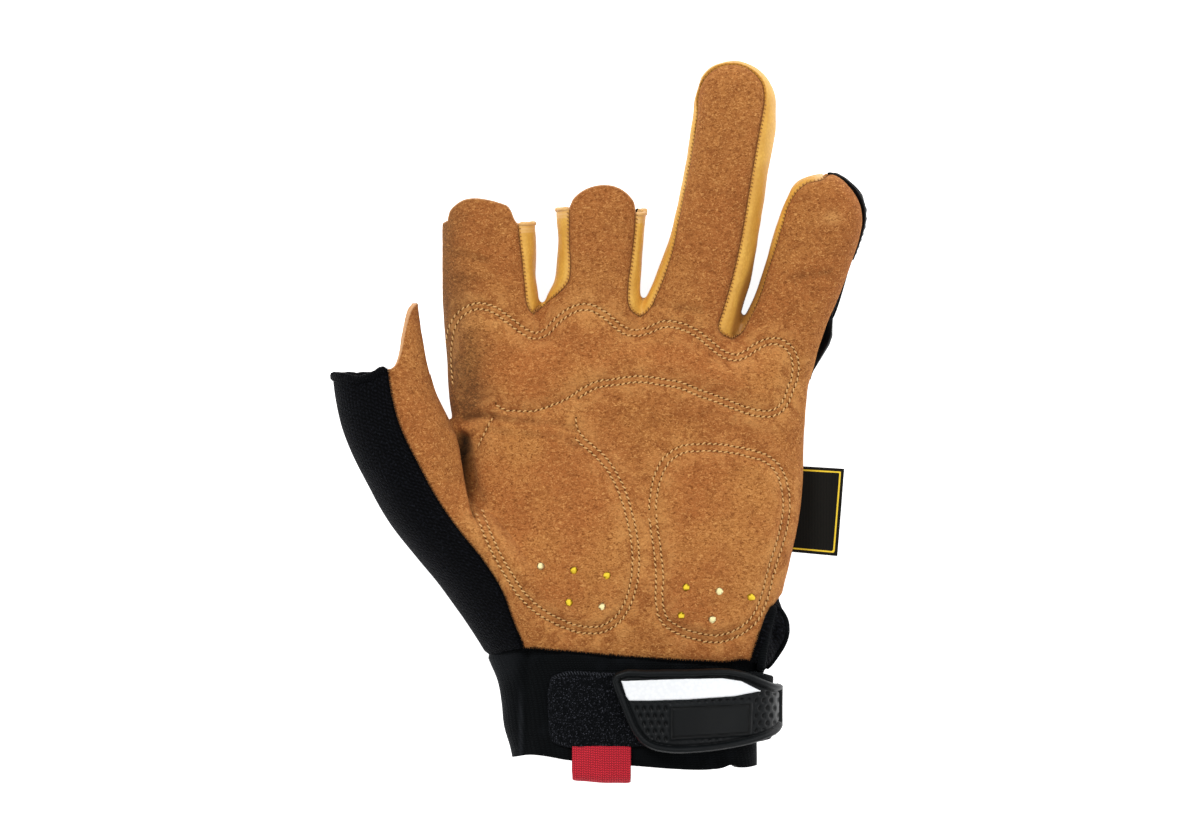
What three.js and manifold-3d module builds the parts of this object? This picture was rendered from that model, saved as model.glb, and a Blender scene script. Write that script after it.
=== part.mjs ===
// A left-hand framer's work glove, lying on its back with the palm up.
// Millimetres, +Z up. The fingers point along +Y, the thumb lies towards -X and the palm
// faces +Z. The origin is the middle of the footprint, on the surface the glove lies on.

import * as THREE from "three";
import { mergeVertices } from "three/addons/utils/BufferGeometryUtils.js";
import Module from "manifold-3d";

const wasm = await Module();
wasm.setup();

// Driving dimensions
const leatherWall = 1.8;
const cuffWall = 3.0;
const seamGap = 0.3;
const clearance = 0.3;
const padRise = 1.6;
const padEdge = 6;
const foamThick = 2.0;
const dotDiameter = 2.6;
const knuckleGuardThick = 4.3;
const fingerGuardThick = 2.4;
const patchThick = 1.3;
const strapThick = 2.3;
const strapStandOff = 3;
const tabBase = 1.8;
const tabRim = 0.9;
const tabRimWidth = 2.2;
const insertThick = 0.7;
const webbingWidth = 19.4;
const webbingThick = 1.4;
const webbingLeft = -9.2;
const webbingFold = -120;
const webbingEnd = -107.8;
const labelThick = 0.8;
const labelHeight = 13.2;
const pointsRound = 20;
const pointsInside = 14;

// Cross sections of the outer form, from the wrist outwards. left and right are the edges
// as seen from the palm side, bottom and top the heights.
const palmSections = [
  { y: -88, left: -34.0, right: 52.5, bottom: 2.6, top: 33.8 },
  { y: -78, left: -37.0, right: 56.5, bottom: 2.7, top: 35.0 },
  { y: -72, left: -40.0, right: 60.5, bottom: 2.8, top: 35.8 },
  { y: -66, left: -42.0, right: 61.3, bottom: 3.0, top: 36.4 },
  { y: -58, left: -44.0, right: 58.8, bottom: 3.2, top: 37.0 },
  { y: -46, left: -45.5, right: 62.3, bottom: 3.5, top: 36.5 },
  { y: -34, left: -46.5, right: 65.5, bottom: 3.8, top: 35.0 },
  { y: -20, left: -47.0, right: 67.0, bottom: 4.0, top: 33.0 },
  { y: -6, left: -48.0, right: 67.5, bottom: 4.2, top: 31.8 },
  { y: 8, left: -49.8, right: 68.4, bottom: 4.3, top: 30.8 },
  { y: 18, left: -50.6, right: 70.2, bottom: 4.3, top: 29.4 },
  { y: 25, left: -50.6, right: 72.4, bottom: 4.8, top: 26.0 },
  { y: 29.5, left: -48.5, right: 72.0, bottom: 9.5, top: 18.5 },
];
const thumbSections = [
  { y: -86, left: -34.4, right: 2, bottom: 3.3, top: 33.6 },
  { y: -77, left: -37.8, right: 0, bottom: 3.2, top: 35.0 },
  { y: -67, left: -44.3, right: -6, bottom: 3.2, top: 37.5 },
  { y: -56, left: -52.0, right: -13, bottom: 3.4, top: 39.9 },
  { y: -45, left: -60.9, right: -22, bottom: 3.7, top: 41.8 },
  { y: -34, left: -69.1, right: -31.5, bottom: 4.7, top: 43.0 },
  { y: -23, left: -75.2, right: -40.0, bottom: 6.3, top: 43.6 },
  { y: -12, left: -80.7, right: -44.0, bottom: 8.2, top: 43.6 },
  { y: -1, left: -84.9, right: -49.2, bottom: 10.1, top: 43.1 },
  { y: 10, left: -87.3, right: -54.3, bottom: 12.0, top: 41.8 },
  { y: 20, left: -88.2, right: -56.9, bottom: 13.5, top: 40.3 },
  { y: 32, left: -85.6, right: -59.0, bottom: 14.8, top: 38.2 },
  { y: 44, left: -81.5, right: -60.2, bottom: 16.0, top: 36.0 },
];
const indexSections = [
  { y: 8, left: -48.0, right: -18.0, bottom: 6.0, top: 26.0 },
  { y: 20, left: -50.5, right: -16.6, bottom: 4.6, top: 28.2 },
  { y: 30, left: -51.6, right: -16.6, bottom: 4.4, top: 28.4 },
  { y: 38, left: -52.0, right: -18.9, bottom: 4.4, top: 28.4 },
  { y: 47, left: -52.5, right: -21.2, bottom: 4.7, top: 28.3 },
  { y: 60, left: -52.4, right: -21.2, bottom: 5.0, top: 28.0 },
  { y: 84, left: -49.5, right: -24.0, bottom: 6.0, top: 27.0 },
];
const middleSections = [
  { y: 8, left: -17.0, right: 13.0, bottom: 6.0, top: 27.0 },
  { y: 20, left: -20.0, right: 14.0, bottom: 4.6, top: 28.8 },
  { y: 30, left: -20.6, right: 14.2, bottom: 4.4, top: 29.0 },
  { y: 38, left: -19.2, right: 13.4, bottom: 4.4, top: 29.0 },
  { y: 46, left: -15.2, right: 13.6, bottom: 4.6, top: 29.0 },
  { y: 58, left: -13.9, right: 14.2, bottom: 4.9, top: 28.8 },
  { y: 70, left: -14.6, right: 15.2, bottom: 5.3, top: 28.5 },
  { y: 88, left: -12.0, right: 13.5, bottom: 6.4, top: 27.0 },
];
const ringSections = [
  { y: 6, left: 12.0, right: 42.0, bottom: 6.0, top: 26.0 },
  { y: 18, left: 10.5, right: 44.5, bottom: 4.6, top: 28.0 },
  { y: 28, left: 10.5, right: 45.4, bottom: 4.4, top: 28.2 },
  { y: 36, left: 13.0, right: 47.2, bottom: 4.4, top: 28.2 },
  { y: 46, left: 17.8, right: 49.7, bottom: 4.6, top: 28.1 },
  { y: 60, left: 22.7, right: 52.3, bottom: 4.8, top: 28.0 },
  { y: 80, left: 27.4, right: 55.3, bottom: 5.2, top: 28.2 },
  { y: 102, left: 30.9, right: 58.2, bottom: 6.2, top: 28.8 },
  { y: 110, left: 32.3, right: 57.0, bottom: 7.4, top: 28.0 },
  { y: 115, left: 34.4, right: 53.6, bottom: 9.4, top: 26.2 },
  { y: 117.6, left: 38.2, right: 49.8, bottom: 12.2, top: 23.2 },
];
const littleSections = [
  { y: 2, left: 42.0, right: 66.0, bottom: 7.0, top: 25.0 },
  { y: 12, left: 42.5, right: 69.0, bottom: 5.2, top: 26.6 },
  { y: 22, left: 42.6, right: 72.4, bottom: 4.6, top: 26.8 },
  { y: 30, left: 44.8, right: 75.2, bottom: 4.6, top: 26.8 },
  { y: 38, left: 49.8, right: 78.5, bottom: 4.6, top: 26.7 },
  { y: 52, left: 56.2, right: 82.9, bottom: 5.0, top: 26.5 },
  { y: 67, left: 61.0, right: 86.2, bottom: 5.7, top: 26.8 },
  { y: 74, left: 63.4, right: 84.2, bottom: 7.2, top: 26.0 },
  { y: 78.4, left: 67.0, right: 81.0, bottom: 9.6, top: 24.2 },
  { y: 80.4, left: 71.0, right: 78.2, bottom: 12.6, top: 21.0 },
];
const cuffSections = [
  { y: -124, left: -27.4, right: 52.0, bottom: 2.3, top: 32.6 },
  { y: -110, left: -29.2, right: 51.8, bottom: 2.3, top: 32.6 },
  { y: -102, left: -31.2, right: 51.8, bottom: 2.3, top: 32.8 },
  { y: -94, left: -32.0, right: 51.8, bottom: 2.3, top: 33.2 },
  { y: -86, left: -34.0, right: 52.0, bottom: 2.3, top: 33.8 },
  { y: -78, left: -37.2, right: 53.0, bottom: 2.3, top: 34.6 },
  { y: -66, left: -41.0, right: 54.5, bottom: 2.3, top: 35.6 },
];

// The stitched pads of the palm, as seen from above
const knucklePad = [
  { x: -50, low: 7, high: 40 },
  { x: -43, low: 6, high: 42 },
  { x: -37, low: 5, high: 39 },
  { x: -31, low: 4, high: 34 },
  { x: -25, low: 3, high: 28 },
  { x: -18, low: 3, high: 27 },
  { x: -12, low: 4.5, high: 32 },
  { x: -5, low: 7, high: 37 },
  { x: 0, low: 9.5, high: 35 },
  { x: 6, low: 12, high: 29 },
  { x: 12, low: 13.2, high: 27 },
  { x: 24, low: 12, high: 31 },
  { x: 31, low: 9.8, high: 28 },
  { x: 37, low: 7.4, high: 20 },
  { x: 44, low: 4.8, high: 17.5 },
  { x: 51, low: 3, high: 23 },
  { x: 58, low: 2.6, high: 26 },
  { x: 63, low: 5.5, high: 24 },
  { x: 66.5, low: 12, high: 18 },
];
const thenarPad = [
  { y: -71, left: -5, right: -1 },
  { y: -70, left: -9, right: 2 },
  { y: -66, left: -17.5, right: 7.5 },
  { y: -60, left: -25, right: 10.7 },
  { y: -51, left: -31, right: 12.6 },
  { y: -42, left: -36, right: 13 },
  { y: -33, left: -39.5, right: 11.2 },
  { y: -24, left: -42.5, right: 8.4 },
  { y: -16, left: -43, right: 4.6 },
  { y: -10, left: -42, right: 0 },
  { y: -4, left: -40, right: -6.5 },
  { y: 1.5, left: -30, right: -10 },
];
const hypothenarPad = [
  { y: -72.6, left: 33, right: 40 },
  { y: -70, left: 26.5, right: 46.5 },
  { y: -66, left: 21.2, right: 51.2 },
  { y: -60, left: 18.8, right: 54.9 },
  { y: -50, left: 18.8, right: 58.5 },
  { y: -40, left: 17.7, right: 61.5 },
  { y: -30, left: 16.6, right: 62.6 },
  { y: -22, left: 16, right: 61.5 },
  { y: -16, left: 18.6, right: 58.8 },
  { y: -11, left: 22, right: 52 },
  { y: -7.3, left: 31, right: 39 },
];
// The round perforations that show the foam, in the heel of the palm and of the thumb
const thenarDots = [
  { x: -19.5, y: -48.2 },
  { x: -8.6, y: -49.5 },
  { x: 2.3, y: -51.2 },
  { x: -10.2, y: -60.1 },
  { x: 0.7, y: -61.4 },
];
const hypothenarDots = [
  { x: 28.4, y: -55.1 },
  { x: 39.3, y: -56.4 },
  { x: 49.8, y: -58.4 },
  { x: 26.7, y: -64.4 },
  { x: 37, y: -65.7 },
];

// Heights along the glove of the lower edge of the palm leather and finger side walls
// (side), and of the lower edge of the thumb leather (thumb)
const seamHeights = [
  { y: -140, side: 12, thumb: 12 },
  { y: -60, side: 12.6, thumb: 13 },
  { y: -46, side: 13, thumb: 16 },
  { y: -30, side: 13.2, thumb: 21 },
  { y: -12, side: 13.4, thumb: 24 },
  { y: 34, side: 14, thumb: 26 },
  { y: 42, side: 12, thumb: 26 },
  { y: 54, side: 9.9, thumb: 26 },
  { y: 90, side: 10.2, thumb: 26 },
  { y: 112, side: 12.5, thumb: 26 },
  { y: 130, side: 14, thumb: 26 },
];

// Panel edges as seen from above: the knit panel's edge on the palm side and on the back,
// and the seam between the thumb leather and the palm
const thumbEdges = [
  { y: -90, knitFront: -25.4, knitBack: -21, leather: -33 },
  { y: -75.5, knitFront: -25.4, knitBack: -22.5, leather: -33 },
  { y: -66, knitFront: -28.8, knitBack: -24.5, leather: -33 },
  { y: -56, knitFront: -32.4, knitBack: -28, leather: -32.6 },
  { y: -46, knitFront: -38.6, knitBack: -33, leather: -34.1 },
  { y: -36, knitFront: -46.6, knitBack: -37, leather: -38.6 },
  { y: -26, knitFront: -53.4, knitBack: -40.6, leather: -42.4 },
  { y: -14, knitFront: -60, knitBack: -43, leather: -44.2 },
  { y: -6, knitFront: -64.1, knitBack: -46.5, leather: -45.6 },
  { y: 0, knitFront: -66.5, knitBack: -50, leather: -50.5 },
  { y: 8, knitFront: -68.5, knitBack: -52, leather: -52 },
  { y: 18, knitFront: -70, knitBack: -54, leather: -54 },
  { y: 60, knitFront: -70, knitBack: -54, leather: -54 },
];
// Left and right edges of the palm leather: across the palm, then up each finger
const palmLeatherEdges = [
  { y: -92, left: -70, right: 50 },
  { y: -78, left: -70, right: 50.5 },
  { y: -74, left: -70, right: 51.8 },
  { y: -67, left: -70, right: 53.1 },
  { y: -62, left: -70, right: 56.4 },
  { y: -57.5, left: -70, right: 58.6 },
  { y: -54, left: -70, right: 64 },
  { y: -50, left: -70, right: 78 },
  { y: 26, left: -70, right: 90 },
];
const indexLeatherEdges = [
  { y: 20, left: -70, right: -12 },
  { y: 35.4, left: -70, right: -19 },
  { y: 38, left: -70, right: -22.8 },
  { y: 49, left: -70, right: -24.4 },
  { y: 64, left: -70, right: -26.4 },
  { y: 90, left: -70, right: -26.6 },
];
const middleLeatherEdges = [
  { y: 20, left: -26, right: 20 },
  { y: 34, left: -20, right: 13.2 },
  { y: 36, left: -18.4, right: 10.4 },
  { y: 40, left: -15.4, right: 9.8 },
  { y: 45.5, left: -10.9, right: 10 },
  { y: 57, left: -10.6, right: 11.6 },
  { y: 90, left: -10.2, right: 11.9 },
];
const ringLeatherEdges = [
  { y: 20, left: 6, right: 52 },
  { y: 27.4, left: 10, right: 43.4 },
  { y: 31, left: 11.8, right: 40.8 },
  { y: 33.6, left: 13.4, right: 41.2 },
  { y: 37, left: 16.4, right: 42.2 },
  { y: 45, left: 19.9, right: 43.8 },
  { y: 57, left: 23.9, right: 46.6 },
  { y: 80, left: 29.4, right: 50.5 },
  { y: 96, left: 31.9, right: 53.2 },
  { y: 106, left: 32.8, right: 55 },
  { y: 111, left: 33.9, right: 54.4 },
  { y: 115, left: 36.4, right: 51 },
  { y: 117, left: 41, right: 46 },
];
const littleLeatherEdges = [
  { y: 20, left: 38, right: 96 },
  { y: 27.4, left: 44, right: 96 },
  { y: 32, left: 47.4, right: 96 },
  { y: 37, left: 50.4, right: 96 },
  { y: 45, left: 54, right: 96 },
  { y: 53, left: 57.3, right: 96 },
  { y: 64.5, left: 61, right: 96 },
  { y: 72, left: 63.4, right: 96 },
  { y: 76, left: 66.4, right: 96 },
  { y: 79, left: 70.5, right: 96 },
  { y: 79.8, left: 75.5, right: 96 },
  { y: 84, left: 77, right: 96 },
];
// Side walls between the fingers, from the middle of one finger to the middle of the next
const indexMiddleSpan = [{ y: 30, left: -40, right: 1 }, { y: 100, left: -40, right: 1 }];
const middleRingSpan = [
  { y: 25, left: 1, right: 24 },
  { y: 100, left: 1, right: 44.3 },
  { y: 130, left: 1, right: 44.3 },
];
const ringLittleSpan = [
  { y: 25, left: 24, right: 60 },
  { y: 70, left: 36.2, right: 76 },
  { y: 100, left: 44.3, right: 76 },
  { y: 130, left: 44.3, right: 60 },
];

// Lines across the glove: where the cuff is sewn on, the cuff's hem, and the open ends of
// the thumb, index finger and middle finger on the palm side, each with a leather tongue
const cuffLine = [
  { x: -100, y: -78.5 },
  { x: -38, y: -78 },
  { x: -25.5, y: -75.6 },
  { x: -13, y: -76.4 },
  { x: 13, y: -78.6 },
  { x: 33, y: -79.6 },
  { x: 52, y: -79 },
  { x: 60, y: -82 },
  { x: 100, y: -82 },
];
const cuffHem = [
  { x: -100, y: -110 },
  { x: -27.7, y: -111 },
  { x: -9, y: -113 },
  { x: 13, y: -115.3 },
  { x: 33, y: -115.8 },
  { x: 100, y: -115.8 },
];
const indexHem = [
  { x: -70, y: 65 },
  { x: -50.6, y: 65.3 },
  { x: -49.8, y: 68.6 },
  { x: -46.5, y: 72 },
  { x: -34, y: 72 },
  { x: -30.4, y: 70.6 },
  { x: -26.8, y: 64.8 },
  { x: -16, y: 65.5 },
];
const middleHem = [
  { x: -18, y: 70 },
  { x: -10.4, y: 69.5 },
  { x: -8.9, y: 73 },
  { x: -4, y: 76.6 },
  { x: 6, y: 76.8 },
  { x: 11.2, y: 72 },
  { x: 12.2, y: 68.2 },
  { x: 18, y: 69 },
];
const thumbHem = [
  { x: -110, y: 15.2 },
  { x: -70, y: 14.6 },
  { x: -67.3, y: 17.2 },
  { x: -66, y: 21.1 },
  { x: -64.4, y: 29 },
  { x: -60.8, y: 38 },
  { x: -50, y: 38 },
];
const indexBackHem = [{ x: -70, y: 65 }, { x: -16, y: 65.5 }];
const middleBackHem = [{ x: -18, y: 70 }, { x: 18, y: 69 }];
const thumbBackHem = [{ x: -110, y: 15.2 }, { x: -50, y: 17 }];

// Pieces laid on the back and on the wrist, as seen from above
const knuckleGuardSpan = [
  { x: -46, low: 14.5, high: 28 },
  { x: -40, low: 12.6, high: 32 },
  { x: -22, low: 12.3, high: 33.4 },
  { x: 0, low: 13, high: 36 },
  { x: 20, low: 12, high: 34.4 },
  { x: 44, low: 10.2, high: 29.4 },
  { x: 58, low: 11, high: 31.4 },
  { x: 72, low: 14, high: 34 },
  { x: 84, low: 16, high: 34 },
];
const fingerGuardSpan = [
  { y: 53, left: 72, right: 96 },
  { y: 57, left: 64.5, right: 96 },
  { y: 66, left: 66, right: 96 },
  { y: 74, left: 70, right: 96 },
  { y: 79, left: 74.5, right: 96 },
  { y: 90, left: 76, right: 96 },
];
const strapSpan = [
  { x: 14, low: -103, high: -85.5 },
  { x: 20, low: -108.6, high: -84.2 },
  { x: 44, low: -108.6, high: -84 },
  { x: 80, low: -108, high: -85 },
];
const tabSpan = [
  { x: 4, low: -87, high: -83 },
  { x: 8.4, low: -95, high: -82.8 },
  { x: 12.5, low: -104.4, high: -82.6 },
  { x: 16.5, low: -108.6, high: -82.6 },
  { x: 21, low: -110.4, high: -82.6 },
  { x: 33, low: -110, high: -82.5 },
  { x: 45.5, low: -108.6, high: -82.4 },
  { x: 51, low: -107.2, high: -84.4 },
  { x: 57, low: -104.6, high: -86.8 },
  { x: 80, low: -103.6, high: -88.6 },
];
const insertSpan = [
  { x: 8, low: -88, high: -86.5 },
  { x: 10.6, low: -92.4, high: -86.4 },
  { x: 29, low: -92.4, high: -86 },
  { x: 40, low: -91.6, high: -85.7 },
  { x: 46, low: -90.8, high: -86.6 },
  { x: 52.6, low: -89.8, high: -89 },
];
const plateSpan = [{ x: 23.2, low: -105.4, high: -94.2 }, { x: 48.8, low: -103.6, high: -93 }];
const labelSpan = [{ y: -44.6, left: 55, right: 78.6 }, { y: -15.6, left: 58, right: 80.9 }];

// Closed outlines from the tables: edges on the left and right of each y, or low and high
// at each x
const alongOutline = (rows) => [
  ...rows.map(({ y, left }) => [left, y]),
  ...rows.map(({ y, right }) => [right, y]).reverse(),
];
const acrossOutline = (rows) => [
  ...rows.map(({ x, high }) => [x, high]),
  ...rows.map(({ x, low }) => [x, low]).reverse(),
];
const rectangle = (left, right, low, high) => [[left, low], [right, low], [right, high], [left, high]];
const roundedRectangle = (left, right, low, high, radius) => {
  const shape = new THREE.Shape();
  shape.absarc(right - radius, high - radius, radius, 0, Math.PI / 2);
  shape.absarc(left + radius, high - radius, radius, Math.PI / 2, Math.PI);
  shape.absarc(left + radius, low + radius, radius, Math.PI, 1.5 * Math.PI);
  shape.absarc(right - radius, low + radius, radius, 1.5 * Math.PI, 2 * Math.PI);
  return shape.getPoints(3).slice(0, -1).map(({ x, y }) => [x, y]);
};

const superellipse = (angle, power) => {
  const c = Math.cos(angle);
  const s = Math.sin(angle);
  return [
    Math.sign(c) * Math.abs(c) ** (2 / power),
    Math.sign(s) * Math.abs(s) ** (2 / power),
  ];
};

// Distance from a point to the edge of an outline, positive inside
const depthInside = (x, y, outline) => {
  let nearest = Infinity;
  let inside = false;
  outline.forEach(([ax, ay], i) => {
    const [bx, by] = outline[(i + 1) % outline.length];
    const along = ((x - ax) * (bx - ax) + (y - ay) * (by - ay)) / ((bx - ax) ** 2 + (by - ay) ** 2);
    const t = THREE.MathUtils.clamp(along, 0, 1);
    nearest = Math.min(nearest, Math.hypot(x - ax - t * (bx - ax), y - ay - t * (by - ay)));
    if (ay > y !== by > y && x < ax + ((y - ay) * (bx - ax)) / (by - ay)) {
      inside = !inside;
    }
  });
  return inside ? nearest : -nearest;
};

// Height that the palm side is raised or sunk by: the pads stand up, the leather between
// them is drawn down along the stitching
const relief = (x, y) => {
  const deepest = Math.max(
    ...[acrossOutline(knucklePad), alongOutline(thenarPad), alongOutline(hypothenarPad)]
      .map((pad) => depthInside(x, y, pad)),
  );
  const raised = THREE.MathUtils.smoothstep(deepest, -1, padEdge) * padRise;
  const drawn = Math.exp(-((deepest / 4) ** 2)) * 0.5;
  return y < 45 && x > -46 ? raised - drawn : 0;
};

// A closed loft through the cross sections, rounder on the palm side than on the back,
// and moved outwards by grow
const loft = (sections, grow, { tip = 0, powerTop = 2.5, powerBottom = 3 } = {}) => {
  const points = grow < 0 ? pointsInside : pointsRound;
  const positions = [];
  const middles = [];
  sections.forEach(({ y, left, right, bottom, top }) => {
    const middle = [(left + right) / 2, y, (bottom + top) / 2];
    middles.push(middle);
    for (let point = 0; point < points; point += 1) {
      const angle = (point / points) * 2 * Math.PI;
      const [c, s] = superellipse(angle, Math.sin(angle) > 0 ? powerTop : powerBottom);
      const x = middle[0] + (c * (right - left)) / 2;
      const z = middle[2] + (s * (top - bottom)) / 2;
      positions.push(x, y, z + relief(x, y) * THREE.MathUtils.smoothstep(s, 0.15, 0.75));
    }
  });
  const rings = sections.length;
  const first = middles[0];
  const last = middles[rings - 1];
  positions.push(...first, last[0], last[1] + tip, last[2]);
  const faces = [];
  for (let point = 0; point < points; point += 1) {
    const next = (point + 1) % points;
    for (let ring = 0; ring < rings - 1; ring += 1) {
      const a = ring * points + point;
      const b = ring * points + next;
      faces.push(a, a + points, b + points, a, b + points, b);
    }
    faces.push(rings * points, point, next);
    const end = (rings - 1) * points;
    faces.push(rings * points + 1, end + next, end + point);
  }
  const geometry = new THREE.BufferGeometry();
  geometry.setAttribute("position", new THREE.Float32BufferAttribute(positions, 3));
  geometry.setIndex(faces);
  geometry.computeVertexNormals();
  const place = geometry.attributes.position;
  const normal = geometry.attributes.normal;
  for (let i = 0; i < place.count; i += 1) {
    place.setXYZ(
      i,
      place.getX(i) + normal.getX(i) * grow,
      place.getY(i) + normal.getY(i) * grow,
      place.getZ(i) + normal.getZ(i) * grow,
    );
  }
  return solidOf(geometry);
};

const solidOf = (geometry) => {
  geometry.deleteAttribute("normal");
  geometry.deleteAttribute("uv");
  const merged = mergeVertices(geometry, 1e-4);
  return new wasm.Manifold(new wasm.Mesh({
    numProp: 3,
    vertProperties: Float32Array.from(merged.attributes.position.array),
    triVerts: Uint32Array.from(merged.index.array),
  }));
};

const joined = (solids) => solids.reduce((whole, solid) => whole.add(solid));

// An outline moved outwards by grow at every corner
const grown = (outline, grow) => {
  const corners = outline.map(([x, y]) => new THREE.Vector2(x, y));
  const turn = THREE.ShapeUtils.area(corners) > 0 ? 1 : -1;
  return corners.map((corner, i) => {
    const before = corners[(i + corners.length - 1) % corners.length];
    const after = corners[(i + 1) % corners.length];
    const edgeIn = corner.clone().sub(before).normalize();
    const edgeOut = after.clone().sub(corner).normalize();
    const outward = new THREE.Vector2(edgeIn.y + edgeOut.y, -edgeIn.x - edgeOut.x).multiplyScalar(turn);
    const stretch = (2 * grow) / Math.max(outward.lengthSq(), 0.8);
    return corner.clone().addScaledVector(outward, stretch);
  });
};

const prism = (outline, grow = 0, low = -20, high = 80) => {
  const shape = new THREE.Shape(grown(outline, grow));
  const geometry = new THREE.ExtrudeGeometry(shape, { depth: high - low, bevelEnabled: false });
  return solidOf(geometry.translate(0, 0, low));
};

// Everything under a seam, for its height at each y
const underSeam = (seam, grow = 0) => {
  const heights = seamHeights.map((row) => new THREE.Vector2(row.y, row[seam] + grow));
  const ends = [heights.at(-1), heights[0]].map(({ x }) => new THREE.Vector2(x, -30));
  const shape = new THREE.Shape([...heights, ...ends]);
  const geometry = new THREE.ExtrudeGeometry(shape, { depth: 260, bevelEnabled: false });
  const turned = new THREE.Matrix4().makeBasis(
    new THREE.Vector3(0, 1, 0), new THREE.Vector3(0, 0, 1), new THREE.Vector3(1, 0, 0));
  return solidOf(geometry.applyMatrix4(turned).translate(-130, 0, 0));
};
const belowLine = (line, grow = 0) => prism(
  acrossOutline(line.map(({ x, y }) => ({ x, low: -160, high: y + grow }))));
const beyondHem = (hem, low, high) => prism(
  acrossOutline(hem.map(({ x, y }) => ({ x, low: y, high: 130 }))), 0, low, high);

const half = seamGap / 2;
const fingerLofts = (grow) => [
  loft(indexSections, grow),
  loft(middleSections, grow),
  loft(ringSections, grow, { tip: 1.2 }),
  loft(littleSections, grow, { tip: 0.6 }),
];
const gloveForm = (grow) => joined([
  loft(palmSections, grow, { powerTop: 2.9, powerBottom: 3.2 }),
  loft(thumbSections, grow, { powerTop: 2.3, powerBottom: 2.6 }),
  ...fingerLofts(grow),
]);
const cuffForm = (grow) => loft(cuffSections, grow, { powerTop: 2.9, powerBottom: 3.2 });
const strapForm = (grow) => {
  const sections = cuffSections.map((section) => ({
    ...section,
    left: section.left - clearance,
    right: section.right + strapStandOff,
    bottom: section.bottom - clearance,
    top: section.top + clearance + patchThick + clearance,
  }));
  return loft(sections, grow, { powerTop: 2.9, powerBottom: 3.2 });
};

// The mouths of the thumb, the index finger and the middle finger
const mouths = joined([
  beyondHem(indexHem, 15, 80),
  beyondHem(indexBackHem, -20, 15.5),
  beyondHem(middleHem, 15, 80),
  beyondHem(middleBackHem, -20, 15.5),
  beyondHem(thumbHem, 27, 80),
  beyondHem(thumbBackHem, -20, 27.5),
]);
const shell = gloveForm(0)
  .subtract(gloveForm(-leatherWall))
  .subtract(mouths)
  .subtract(belowLine(cuffLine, half));

const leftOf = (edge, grow) => prism(
  alongOutline(thumbEdges.map((row) => ({ y: row.y, left: -110, right: row[edge] }))), grow);
const knitRegion = (grow) => leftOf("knitFront", grow)
  .add(leftOf("knitBack", grow).intersect(underSeam("thumb", grow)));
const thumbKnit = shell.intersect(knitRegion(-half));
const withoutKnit = shell.subtract(knitRegion(half));

const thumbRegion = (grow) => leftOf("leather", grow).subtract(underSeam("thumb", -grow));
const thumbLeather = withoutKnit.intersect(thumbRegion(-half));
const withoutThumb = withoutKnit.subtract(thumbRegion(half));

const dots = joined([...thenarDots, ...hypothenarDots].map(({ x, y }) => solidOf(
  new THREE.CylinderGeometry(dotDiameter / 2, dotDiameter / 2, 50, 7)
    .rotateX(Math.PI / 2)
    .translate(x, y, 50))));
const labelBand = (grow) => prism(
  alongOutline(labelSpan), grow, labelHeight - labelThick / 2 - grow, labelHeight + labelThick / 2 + grow);
const leatherRegion = (grow) => joined([
  palmLeatherEdges, indexLeatherEdges, middleLeatherEdges, ringLeatherEdges, littleLeatherEdges,
].map((edges) => prism(alongOutline(edges), grow))).subtract(underSeam("side", -grow));
const palmLeather = withoutThumb.intersect(leatherRegion(-half)).subtract(dots)
  .subtract(labelBand(clearance));
const withoutLeather = withoutThumb.subtract(leatherRegion(half));

const sideRegion = (span, grow) => prism(alongOutline(span), grow)
  .subtract(underSeam("side", -grow));
const sideWall = (span) => withoutLeather.intersect(sideRegion(span, -half));
const backPanel = [indexMiddleSpan, middleRingSpan, ringLittleSpan]
  .reduce((rest, span) => rest.subtract(sideRegion(span, half)), withoutLeather)
  .subtract(labelBand(clearance));

const foamPad = (outline) => gloveForm(-leatherWall - clearance)
  .subtract(gloveForm(-leatherWall - clearance - foamThick))
  .intersect(prism(outline, -4, 22, 60));

const aboveTable = prism(rectangle(-150, 150, -150, 150), 0, 0, 100);
const knuckleGuard = gloveForm(clearance + knuckleGuardThick)
  .subtract(gloveForm(clearance))
  .intersect(prism(acrossOutline(knuckleGuardSpan), 0, -20, 17))
  .intersect(aboveTable);
const fingerGuard = loft(littleSections, clearance + fingerGuardThick, { tip: 0.6 })
  .subtract(gloveForm(clearance))
  .intersect(prism(alongOutline(fingerGuardSpan), 0, -20, 17))
  .intersect(aboveTable);

const cuff = cuffForm(0)
  .subtract(cuffForm(-cuffWall))
  .intersect(belowLine(cuffLine, -half))
  .subtract(belowLine(cuffHem));
const loopPatch = cuffForm(clearance + patchThick)
  .subtract(cuffForm(clearance))
  .intersect(prism(roundedRectangle(-16.8, 36, -107.4, -83, 3), 0, 22, 80));
const strap = strapForm(strapThick)
  .subtract(strapForm(0))
  .intersect(prism(acrossOutline(strapSpan), 0, 16, 80)
    .add(prism(rectangle(-14, 80, -108, -84.6), 0, -20, 18)))
  .intersect(aboveTable);

const tabFloor = strapThick + clearance;
const tabBand = (low, high, span) => strapForm(high)
  .subtract(strapForm(low))
  .intersect(prism(acrossOutline(span), 0, 16, 80));
const closureTab = joined([
  tabBand(tabFloor, tabFloor + tabBase, tabSpan),
  tabBand(tabFloor + tabBase - 0.1, tabFloor + tabBase + tabRim, tabSpan)
    .subtract(prism(acrossOutline(tabSpan), -tabRimWidth, 19, 80)),
  tabBand(tabFloor + tabBase - 0.1, tabFloor + tabBase + 0.6, plateSpan),
]);
const insertFloor = tabFloor + tabBase + clearance;
const tabInsert = tabBand(insertFloor, insertFloor + insertThick, insertSpan);

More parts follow.
